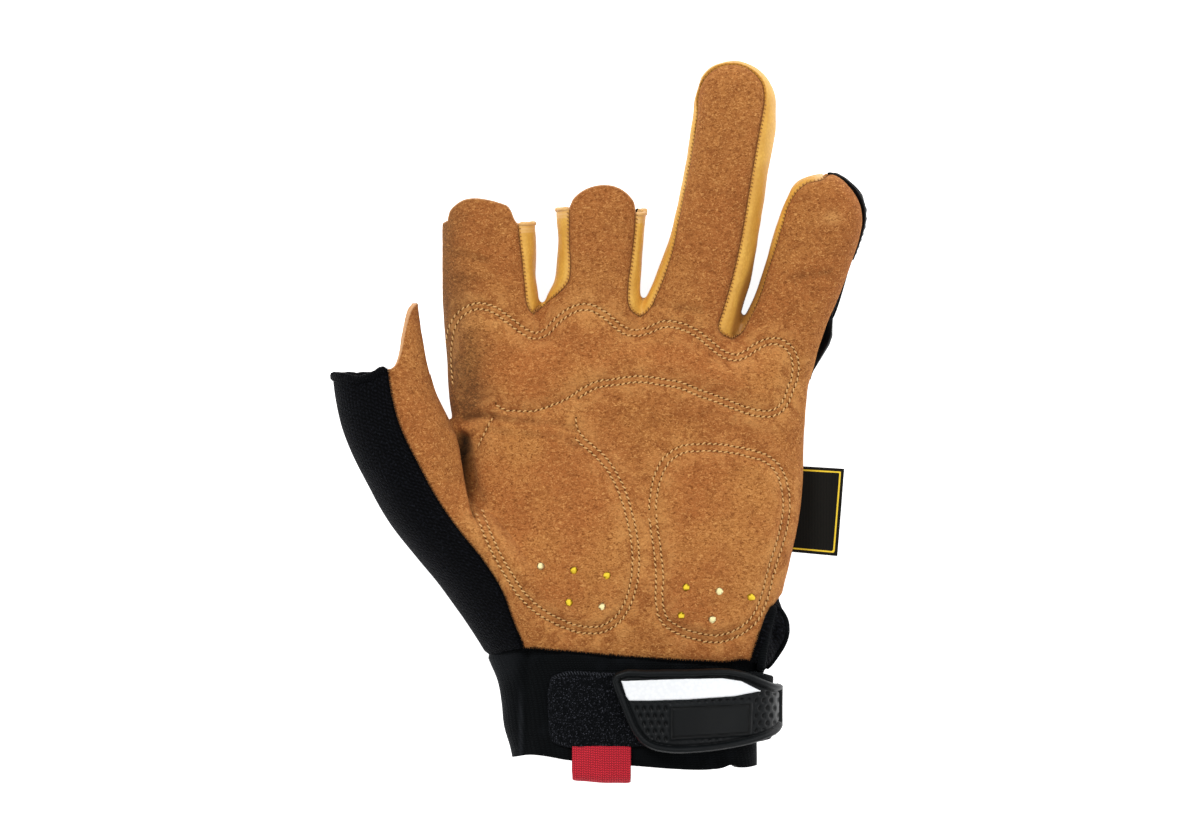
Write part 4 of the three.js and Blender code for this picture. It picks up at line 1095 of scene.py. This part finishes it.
# Loop patch
loopPile = {"base": srgb(4, 5, 6), "tips": srgb(92, 94, 104), "size": 1500.0, "rise": 1.3, "edgeRound": 0.8,
            "tufts": 0.18}
pileMaterial, tree, shader = newMaterial("loopPile", Roughness=1.0, Sheen_Weight=0.1, Sheen_Roughness=0.5,
                                         Sheen_Tint=srgb(140, 145, 160), Specular_IOR_Level=0.06)
pile = texture(tree, "Voronoi", loopPile["size"], Randomness=0.9)
curl = texture(tree, "Noise", 1500.0, Detail=2.0, Distortion=2.0)
tips = times(tree, rangeMap(tree, pile.outputs["Distance"], 0.1, 0.5, 1.0, 0.0),
             rangeMap(tree, curl.outputs["Fac"], 0.42, 0.66))
colour = mixColour(tree, tips, loopPile["base"], loopPile["tips"])
tree.links.new(colour, shader.inputs["Base Color"])
height = maths(tree, "SUBTRACT", curl.outputs["Fac"], pile.outputs["Distance"])
bumpTo(tree, shader, height, 1.0, 0.0012)

patchOutline = smoothPath([(-16.8, -100), (-16.8, -88), (-16, -84.6), (-13, -83.2), (0, -83), (20, -83.4),
                           (36, -84), (36, -106), (20, -107.2), (0, -107.8), (-12, -107.6),
                           (-15.6, -106), (-16.7, -103)], closed=True)
patch = cutFrom(cuffForm, lambda co: np.minimum(insideOutline(co, patchOutline), co[:, 2] - 20))
grow(patch, 0.3)
co = coordsOf(patch)
toEdge = edgeDistance(patch)
patchHeight = crown(toEdge, loopPile["rise"], loopPile["edgeRound"])
push(patch, patchHeight + loopPile["tufts"] * noiseField(co, 1.6, 13))
finish("loopPatch", patch, [pileMaterial], ("loop_patch",), wall(1.0, 0.2))


# Strap and closure tab
strapLook = {"rise": 2.3, "edgeRound": 0.9, "wall": 1.9}
strapForm = wristForm(strapRows)
frontStrap = spanOutline([(14, -103, -85.5), (20, -107.4, -84.2), (44, -107.2, -83.6), (50, -106.4, -82.8),
                          (53, -105.8, -83.4), (56, -105, -84.6), (58, -104.6, -85.6), (80, -104.6, -86)])


def strapField(co):
    front = np.minimum(insideOutline(co, frontStrap), co[:, 2] - 16)
    rear = np.min([co[:, 0] + 14, 80 - co[:, 0], co[:, 1] + 104.6, -85.2 - co[:, 1], 18 - co[:, 2]], axis=0)
    return np.maximum(front, rear)


strap = cutFrom(strapForm, strapField)
clothCoords(strap, strapRows)
co = coordsOf(strap)
strapHeight = crown(edgeDistance(strap), strapLook["rise"], strapLook["edgeRound"])
push(strap, strapHeight + 0.12 * noiseField(co, 9, 17))
restOnFloor(strap)
finish("strap", strap, [neopreneMaterial], ("strap",), wall(strapLook["wall"], 0.3))

tab = {
    "floor": 2.6,
    "base": 1.8,
    "rimRise": 1.25,
    "rimWidth": 2.3,
    "grooveDepth": 0.45,
    "plateRise": 0.5,
    "plateLineDip": 0.3,
    "dimpleDepth": 0.65,
    "dimpleSize": (0.66, 1.0),
    "dimplePitch": (2.4, 2.5),  # between columns, and between staggered rows
}
tabOutline = smoothPath([(3.9, -85.6), (4.6, -83.8), (7, -82.6), (16, -82.3), (30, -82.1), (44, -82.1),
                         (49, -83.2), (54, -85.4), (58, -86.9), (64, -87.6), (64, -98), (60, -100.6),
                         (58.3, -103.4), (54, -105.6), (50, -106.8), (42, -108.4), (33, -109.5), (22, -109.6),
                         (17.2, -108.6), (13.6, -106.6), (10.7, -103), (8.2, -97.6), (6.2, -92.6),
                         (4.6, -88.6)], closed=True, step=0.8)
plateOutline = np.array([(22.9, -93.9), (50.2, -92.8), (49.8, -104.0), (22.9, -105.6)])
insertOutline = np.array([(7.0, -85.9), (24, -85.3), (40.3, -85.0), (46.5, -86.0), (53.0, -89.3),
                          (44.2, -91.0), (29, -92.0), (16, -92.4), (9.6, -92.4), (8.6, -91.0)])
fineForm = wristForm(strapRows, step=0.34, around=720, yRange=(-114, -79))
keepWhere(fineForm, lambda co: np.minimum(co[:, 0] - 1, co[:, 2] - 15))
grow(fineForm, tab["floor"] + tab["base"])


def tabField(co):
    return np.minimum(insideOutline(co, tabOutline), co[:, 2] - 16)


tabPiece = cutFrom(fineForm, tabField)
co = coordsOf(tabPiece)
toEdge = edgeDistance(tabPiece)
onPlate = insideOutline(co, plateOutline)
rim = np.clip(toEdge / tab["rimWidth"], 0, 1)
groove = bell(toEdge - tab["rimWidth"] - 0.25, 0.3)
plateLine = bell(onPlate - 1.0, 0.22)
heights = tab["rimRise"] * np.sin(rim * pi) ** 0.55
heights -= tab["grooveDepth"] * groove
heights -= 0.8 * (1 - smoothstep(toEdge, 0.0, 0.45))
heights += tab["plateRise"] * smoothstep(onPlate, -0.05, 0.35)
heights -= tab["plateLineDip"] * plateLine
pitchX, pitchY = tab["dimplePitch"]
halfWide, halfHigh = tab["dimpleSize"]
dimple = np.zeros(len(co))
for shiftX, shiftY in ((0, 0), (pitchX / 2, pitchY)):
    dx = (co[:, 0] - shiftX + pitchX / 2) % pitchX - pitchX / 2
    dy = (co[:, 1] - shiftY + pitchY) % (2 * pitchY) - pitchY
    dimple = np.maximum(dimple, np.clip(1 - (dx / halfWide) ** 2 - (dy / halfHigh) ** 2, 0, 1))
field = smoothstep(toEdge, tab["rimWidth"] + 0.6, tab["rimWidth"] + 1.4) * smoothstep(-onPlate, 0.2, 0.9)
field *= smoothstep(-insideOutline(co, insertOutline), 0.5, 1.2)
heights -= tab["dimpleDepth"] * np.sqrt(dimple) * field
# painted shade in the dimples, the rim's groove and the plate's frame line; the plate itself a darker tone
layer(tabPiece, "pitShadeAndDarkPlate", np.clip(dimple * field * 0.9 + 0.5 * groove + 0.7 * plateLine
                               + 0.45 * smoothstep(onPlate, 0.0, 0.4), 0, 1))
heights -= 0.4 * smoothstep(insideOutline(co, insertOutline), 0.0, 0.25)
push(tabPiece, heights)
finish("closureTab", tabPiece, [rubberMaterial], ("closure_tab",), wall(1.3, 0.15, 1))

whiteFilm = {"base": srgb(246, 248, 250), "shade": srgb(222, 226, 230)}
filmMaterial, tree, shader = newMaterial("whiteFilm", Roughness=0.35)
tone = texture(tree, "Voronoi", 900.0)
colour = mixColour(tree, rangeMap(tree, tone.outputs["Distance"], 0.2, 0.8, 0.0, 0.3), whiteFilm["base"],
                   whiteFilm["shade"])
tree.links.new(colour, shader.inputs["Base Color"])
bumpTo(tree, shader, tone.outputs["Distance"], 0.08, 0.0002)
insertPiece = cutFrom(fineForm, lambda co: np.minimum(insideOutline(co, insertOutline), co[:, 2] - 16))
grow(insertPiece, -0.25)
push(insertPiece, crown(edgeDistance(insertPiece), 0.6, 0.35))
finish("tabInsert", insertPiece, [filmMaterial], ("tab_insert",), wall(0.5, 0.08, 1))
print("cuff, strap and tab made")


# Pull loop
webbing = {
    "left": -9.2, "right": 10.2, "end": -107.8, "fold": -120.0, "thick": 1.25,
    "base": srgb(236, 44, 62), "gap": srgb(150, 16, 34), "rows": 1.3, "columns": 1.3,
    "lean": 0.6, "clearance": 0.3,
}
webbingMaterial, tree, shader = newMaterial("redWebbing", Roughness=0.75, Specular_IOR_Level=0.3)
loops = loopRows(tree, webbing)
colour = mixColour(tree, rangeMap(tree, loops, 0.0, 0.8), webbing["gap"], webbing["base"])
tree.links.new(colour, shader.inputs["Base Color"])
bumpTo(tree, shader, loops, 0.7, 0.0004)


def fromAbove(tree, x, y):  # the point and normal seen there, or two times None
    return tree.ray_cast(Vector((x, y, 90)) * mm, Vector((0, 0, -1)))[:2]


def cuffTop(x, y):
    hit = fromAbove(cuffTree, x, y)[0]
    return hit.z / mm if hit else 32.6


foldRadius = neoprene["wall"] / 2 + webbing["clearance"] + webbing["thick"]
bendCentre = webbing["fold"] + foldRadius
grid = bmesh.new()
bmesh.ops.create_grid(grid, x_segments=44, y_segments=60, size=1)
alongKey = grid.verts.layers.float.new("along")
acrossKey = grid.verts.layers.float.new("across")
legLength = webbing["end"] - bendCentre
bendLength = pi * foldRadius
fullLength = 2 * legLength + bendLength
for vert in grid.verts:
    u = (vert.co.x + 1) / 2
    s = (vert.co.y + 1) / 2 * fullLength
    x = webbing["left"] + u * (webbing["right"] - webbing["left"])
    if s < legLength:
        y, drop = webbing["end"] - s, 0.0
    elif s < legLength + bendLength:
        angle = (s - legLength) / foldRadius
        y, drop = bendCentre - foldRadius * sin(angle), foldRadius * (1 - cos(angle))
    else:
        y, drop = bendCentre + (s - legLength - bendLength), 2 * foldRadius
    z = cuffTop(x, max(y, -112.0)) + webbing["clearance"] + webbing["thick"] - drop
    corner = abs(2 * u - 1) ** 14 * smoothstep(-y, 117, 120)
    y += 0.9 * (1 - u) + 0.6 * corner + 0.12 * sin(u * 9)
    vert.co = Vector((x, y, z)) * mm
    vert[alongKey], vert[acrossKey] = s, x
bmesh.ops.recalc_face_normals(grid, faces=grid.faces)
faceOutward(grid)
finish("pullLoop", grid, [webbingMaterial], ("pull_loop",), wall(webbing["thick"], 0.3))


# Side label
label = {
    "base": srgb(12, 11, 9), "border": srgb(240, 205, 60), "thick": 0.6, "height": 13.2,
    "low": (55, 78.6, -44.6), "high": (58, 80.9, -15.6),   # left, right and y of the two short ends
}
labelMaterial, tree, shader = newMaterial("wovenLabel", Roughness=0.7, Specular_IOR_Level=0.1)
edgeGap = attribute(tree, "toEdge")
line = times(tree, rangeMap(tree, edgeGap, 0.95, 1.1), rangeMap(tree, edgeGap, 1.45, 1.6, 1.0, 0.0))
threads = texture(tree, "Wave", 620.0, Distortion=0.4)
colour = mixColour(tree, times(tree, threads.outputs["Fac"], 0.35), label["base"], srgb(40, 38, 32))
colour = mixColour(tree, line, colour, label["border"])
tree.links.new(colour, shader.inputs["Base Color"])
bumpTo(tree, shader, threads.outputs["Fac"], 0.3, 0.00015)
grid = bmesh.new()
bmesh.ops.create_grid(grid, x_segments=50, y_segments=56, size=1)
edgeKey = grid.verts.layers.float.new("toEdge")
for vert in grid.verts:
    u, v = (vert.co.x + 1) / 2, (vert.co.y + 1) / 2
    left, right, level = (a + (b - a) * v for a, b in zip(label["low"], label["high"]))
    x = left + (right - left) * u
    y = level + (2.2 - 0.9 * v) * (1 - u) - 0.5
    z = label["height"] + label["thick"] / 2 + 0.9 * max(u - 0.45, 0) ** 2 * sin(v * 3)
    vert[edgeKey] = min((1 - u) * 23, v * 29, (1 - v) * 29)
    vert.co = Vector((x, y, z)) * mm
bmesh.ops.recalc_face_normals(grid, faces=grid.faces)
faceOutward(grid)
finish("sideLabel", grid, [labelMaterial], ("side_label",), wall(label["thick"], 0.12, 1))


# Foam behind the perforations
foam = {"base": srgb(240, 208, 46), "pale": srgb(250, 238, 176), "inset": 4.0, "thick": 2.0}
foamMaterial, tree, shader = newMaterial("yellowFoam", Roughness=0.85)
cells = texture(tree, "Voronoi", 1300.0)
tone = texture(tree, "Noise", 55.0, Detail=0.0)
colour = mixColour(tree, rangeMap(tree, tone.outputs["Fac"], 0.45, 0.53), foam["base"], foam["pale"])
tree.links.new(colour, shader.inputs["Base Color"])
bumpTo(tree, shader, cells.outputs["Distance"], 0.4, 0.0003)
for name, node, outline, places in (("thenarFoam", "thenar_foam", padOutlines[1], dotPlaces[:5]),
                                    ("hypothenarFoam", "hypothenar_foam", padOutlines[2], dotPlaces[5:])):
    piece = cutFrom(body, lambda co: np.minimum(insideOutline(co, outline) - foam["inset"], co[:, 2] - 20))
    co = coordsOf(piece)
    depth = np.max([insideOutline(co, pad) for pad in padOutlines], axis=0)
    lift = smoothstep(depth, -1, glove["padEdge"]) * glove["padRise"] - glove["leatherWall"] - 0.35
    gap = np.min([np.hypot(co[:, 0] - x, co[:, 1] - y) for x, y in places], axis=0)
    lift += (glove["leatherWall"] + 0.35) * smoothstep(-gap, -1.5, -1.05)
    push(piece, lift)
    pad = finish(name, piece, [foamMaterial], (node,), wall(foam["thick"], 0.2))
print("pull loop, label and foam made")


# Stitching
thread = {
    "colour": srgb(228, 182, 112), "holeShade": srgb(46, 26, 10),
    "pitch": 1.85, "length": 1.6, "radius": 0.25, "holeShadeRadius": 0.27, "lean": 26.0, "longestGap": 4,
}
threadMaterial, tree, shader = newMaterial("thread", Roughness=0.7, Sheen_Weight=0.2)
twist = texture(tree, "Wave", 900.0, Distortion=1.0)
colour = mixColour(tree, times(tree, twist.outputs["Fac"], 0.5), thread["colour"], srgb(186, 132, 70))
tree.links.new(colour, shader.inputs["Base Color"])
# dark discs at the needle holes: painted shade where the thread goes into the leather
holeShadeMaterial = fleckedMaterial("needleHoleShade", 900.0, thread["holeShade"], srgb(92, 58, 30), Roughness=1.0,
                               Specular_IOR_Level=0.0)


def evenPoints(path, pitch):
    lengths = np.append(0, np.cumsum(np.linalg.norm(np.diff(path, axis=0), axis=1)))
    at = np.arange(pitch / 2, lengths[-1], pitch)
    return np.column_stack([np.interp(at, lengths, path[:, k]) for k in range(2)])


stitchShape = template(lambda bm: bmesh.ops.create_uvsphere(bm, u_segments=7, v_segments=5, radius=1))
holeShadeShape = template(lambda bm: bmesh.ops.create_circle(bm, cap_ends=True, segments=7, radius=1))


def sewRow(bm, path, tree, seed):
    points = evenPoints(path, thread["pitch"])
    places = []
    for x, y in points:
        hit, normal = fromAbove(tree, x, y)
        places.append((hit, normal) if hit else None)
    for i, (here, after) in enumerate(zip(places[:-1], places[1:])):
        if not here or not after or (after[0] - here[0]).length > thread["longestGap"] * mm:
            continue
        vary = noise.noise(Vector((i * 0.73, seed * 3.1, 0)))
        ahead = (after[0] - here[0]).normalized()
        up = here[1]
        middle = (here[0] + after[0]) / 2 + up * 0.1 * mm + up.cross(ahead) * vary * 0.25 * mm
        lean = radians(thread["lean"] + 22 * vary)
        ahead = (ahead * cos(lean) + up.cross(ahead) * sin(lean)).normalized()
        side = up.cross(ahead).normalized()
        turn = Matrix((ahead, side, up)).transposed().to_4x4()
        size = Matrix.Diagonal(Vector((thread["length"] / 2 * (1 + 0.3 * vary), thread["radius"],
                                       thread["radius"] * 0.8, 1 / mm)) * mm)
        stamp(bm, stitchShape, Matrix.Translation(middle) @ turn @ size)
        holeShadeSize = Matrix.Scale(thread["holeShadeRadius"] * mm, 4)
        # a dark disc of painted shade at each needle hole
        stamp(bm, holeShadeShape, Matrix.Translation(here[0] + up * 0.05 * mm) @ turn @ holeShadeSize, 1)


sewing = bmesh.new()
for seed, path in enumerate(stitchPaths):
    sewRow(sewing, path, leatherTree, seed)
finish("palmStitching", sewing, [threadMaterial, holeShadeMaterial])
print("stitching made,", sum(len(p) for p in stitchPaths), "mm")


# Overcast seams and rolled hems
def walk(points, normals, pitch):
    points, normals = np.array([p[:] for p in points]) / mm, np.array([n[:] for n in normals])
    lengths = np.append(0, np.cumsum(np.linalg.norm(np.diff(points, axis=0), axis=1)))
    at = np.arange(0, lengths[-1], pitch)
    spots = np.column_stack([np.interp(at, lengths, points[:, k]) for k in range(3)])
    ups = np.column_stack([np.interp(at, lengths, normals[:, k]) for k in range(3)])
    ahead = np.gradient(spots, axis=0)
    for spot, up, way in zip(spots, ups, ahead):
        yield Vector(spot), Vector(up).normalized(), Vector(way).normalized()


overcast = {
    "pitch": 1.3, "length": 1.4, "radius": 0.23, "yellow": srgb(196, 136, 56), "black": srgb(9, 10, 13),
    "shortestLoop": 60,   # points of an edge, below which it is a perforation's
}
seamMaterial = fleckedMaterial("seamThread", 500.0, srgb(128, 78, 32), overcast["yellow"], Roughness=0.75)
fuzzMaterial = fleckedMaterial("blackFuzz", 500.0, srgb(3, 3, 4), overcast["black"], Roughness=1.0,
                               Specular_IOR_Level=0.05)
borderMaterial = fleckedMaterial("borderThread", 700.0, srgb(10, 11, 13), srgb(62, 65, 72), Roughness=0.6,
                                 Specular_IOR_Level=0.2)
barShape = template(lambda bm: bmesh.ops.create_uvsphere(bm, u_segments=6, v_segments=4, radius=1))


def layBar(bm, spot, along, up, length, radius, materialIndex):
    side = up.cross(along).normalized()
    turn = Matrix((along, side, along.cross(side).normalized())).transposed().to_4x4()
    size = Matrix.Diagonal(Vector((length / 2, radius, radius, 1 / mm)) * mm)
    stamp(bm, barShape, Matrix.Translation(spot * mm) @ turn @ size, materialIndex)


seams = bmesh.new()
for points, normals in leatherLoops:
    for i, (spot, up, way) in enumerate(walk(points, normals, overcast["pitch"])):
        here = np.array([spot[:]])
        if isHem(here)[0] or len(points) < overcast["shortestLoop"]:
            continue
        across = up.cross(way).normalized()
        vary = noise.noise(Vector((i * 0.61, len(points), 0)))
        if spot.y < -70 and spot.z > 20:     # the cuff's fuzzy top edge
            for k in range(3):
                shift = noise.noise(Vector((i * 1.7, k * 2.3, 1))) * 1.0
                lean = (across + way * shift).normalized()
                layBar(seams, spot + way * (k - 1) * 0.38 + up * 0.45, lean, up, 1.9 + vary, 0.17, 1)
        elif knitField(here)[0] > -1.5:      # fibres of the knit along the thumb leather
            lean = (across + way * vary * 2).normalized()
            layBar(seams, spot + up * 0.35, lean, up, 1.5 + vary, 0.12, 1)
            layBar(seams, spot + way * 0.55 + up * 0.35, (across - way * vary).normalized(), up, 1.3, 0.11, 1)
        elif spot.y > 26 and -30 < spot.x < np.interp(spot.y, [26, 50, 70, 80], [58, 68, 75, 76]):
            lean = (across + way * 0.35).normalized()
            layBar(seams, spot + up * 0.4, lean, up, overcast["length"] + 0.4 * vary, overcast["radius"], 0)
finish("panelSeams", seams, [seamMaterial, fuzzMaterial])


borders = bmesh.new()
border = smoothPath(np.vstack([patchOutline, patchOutline[:1]]), 1.0)
spots = [Vector((x, y, cuffTop(x, y) + 0.3 + 1.1)) * mm for x, y in border if x < 20]
for i, (spot, up, way) in enumerate(walk(spots, [Vector((0, 0, 1))] * len(spots), 1.0)):
    inward = way.cross(up).normalized()
    vary = noise.noise(Vector((i * 0.9, 4.4, 0)))
    layBar(borders, spot + inward * 0.9, (inward + way * (0.5 + 0.4 * vary)).normalized(), up, 1.5, 0.17, 0)
finish("patchBorder", borders, [borderMaterial])


def tube(bm, spots, ups, radius, around=10):
    ring = bmesh.ops.create_circle(bm, segments=around, radius=1)["verts"]
    edges = list(dict.fromkeys(e for v in ring for e in v.link_edges))
    firstEdges, order = edges, {v: i for i, v in enumerate(ring)}
    ways = np.gradient(np.array([s[:] for s in spots]), axis=0)
    total = len(spots)
    for count, (spot, up, way) in enumerate(zip(spots, ups, ways)):
        if count:
            fresh, edges = nextRing(bm, edges)
            newOrder = {}
            for vert in fresh:
                old = next(e.other_vert(vert) for e in vert.link_edges if e.other_vert(vert) in order)
                newOrder[vert] = order[old]
            order = newOrder
        way = Vector(way).normalized()
        side = way.cross(up).normalized()
        lift = side.cross(way).normalized()
        taper = min(1.0, 0.45 + 0.4 * min(count, total - 1 - count))
        for vert, index in order.items():
            angle = 2 * pi * index / around
            vert.co = (spot + (side * cos(angle) + lift * sin(angle)) * radius * taper) * mm
    bmesh.ops.contextual_create(bm, geom=firstEdges)
    bmesh.ops.contextual_create(bm, geom=edges)
    bmesh.ops.recalc_face_normals(bm, faces=bm.faces)


def hemRuns(loops, pitch):
    for points, normals in loops:
        run = []
        for spot, up, way in walk(points, normals, pitch):
            if isHem(np.array([spot[:]]))[0]:
                run.append((spot, up))
            else:
                if len(run) > 3:
                    yield run
                run = []
        if len(run) > 3:
            yield run


hems = bmesh.new()
for run in hemRuns(sideLoops, 0.8):
    tube(hems, [spot - up * 0.25 for spot, up in run], [up for spot, up in run], 0.75)
layer(hems, "toRim", np.full(len(hems.verts), 0.6))
layer(hems, "toSeam", np.full(len(hems.verts), 5.0))
layer(hems, "paleStrip", np.full(len(hems.verts), 0.3))
layer(hems, "lowShade", np.zeros(len(hems.verts)))
finish("yellowHems", hems, [goatskinMaterial])

knitHem = bmesh.new()
for run in hemRuns(knitLoops, 0.9):
    wobble = []
    for spot, up in run:
        sway = Vector((0, 0.35 * noise.noise(spot / 1.6), 0))
        wobble.append(spot + up * (0.25 * noise.noise(spot / 2) - 0.6) + sway)
    tube(knitHem, wobble, [up for spot, up in run], 1.5)
    for i, (spot, up) in enumerate(run):
        root = spot + up * 0.6 + Vector((0, 0.5, 0))
        for k in range(4):   # loose fibres on the hem
            lean = Vector([noise.noise(Vector((i, k, seed))) for seed in (1, 5, 9)]) + Vector((0, 0.8, 0))
            layBar(knitHem, root, lean.normalized(), Vector((0, 0, 1)), 1.9, 0.11, 0)
layer(knitHem, "along", coordsOf(knitHem)[:, 0] * 2)
layer(knitHem, "across", coordsOf(knitHem)[:, 1] * 2)
finish("thumbHem", knitHem, [knitMaterial])

wristFold = bmesh.new()   # the loop of binding at the wrist's right side
bandPath = [(57.6, -61.4), (56.4, -64.5), (55.2, -69), (54.3, -74), (53.5, -79), (52.8, -84.5)]
loopEdge = [(58, -61.2), (60.0, -63.2), (61.6, -66.6), (61.9, -70.4), (60.6, -74.4), (58.2, -78.2),
            (55.2, -82.2)]
# The seam down the little finger
weltPath = [(83.3, 55.5), (81.8, 49.5), (80.2, 43.8), (78.6, 38.5), (76.8, 33.5)]
for line, radius in ((bandPath, 1.5), (loopEdge, 0.75), (weltPath, 0.5)):
    spots = []
    for x, y in smoothPath(line, 1.0):
        if line is weltPath:
            spots.append(Vector((x, y, 13.5)))
            continue
        hit = fromAbove(trimmedTree, x, y)[0]
        spots.append(Vector((x, y, min(hit.z / mm if hit else 14.0, 29.0) + 0.2)))
    tube(wristFold, spots, [Vector((0.5, 0, 1))] * len(spots), radius)
layer(wristFold, "along", coordsOf(wristFold)[:, 1])
layer(wristFold, "across", coordsOf(wristFold)[:, 2])
finish("wristFold", wristFold, [neopreneMaterial])
print("seams and hems made")


# Floor
floorMaterial, tree, shader = newMaterial("paleFloor", Roughness=0.9)
tone = texture(tree, "Noise", 4.0, Detail=2.0)
mottle = times(tree, tone.outputs["Fac"], 0.02)
colour = mixColour(tree, mottle, studio["floorColour"], (0.9, 0.9, 0.9, 1))
tree.links.new(colour, shader.inputs["Base Color"])
shader.inputs["Emission Color"].default_value = (1, 1, 1, 1)
shader.inputs["Emission Strength"].default_value = studio["floorGlow"]
grid = bmesh.new()
bmesh.ops.create_grid(grid, x_segments=2, y_segments=2, size=studio["floorSize"])
mesh = bpy.data.meshes.new("floor")
grid.to_mesh(mesh)
floor = bpy.data.objects.new("floor", mesh)
floor.location.z = -0.0002
scene.collection.objects.link(floor)
mesh.materials.append(floorMaterial)
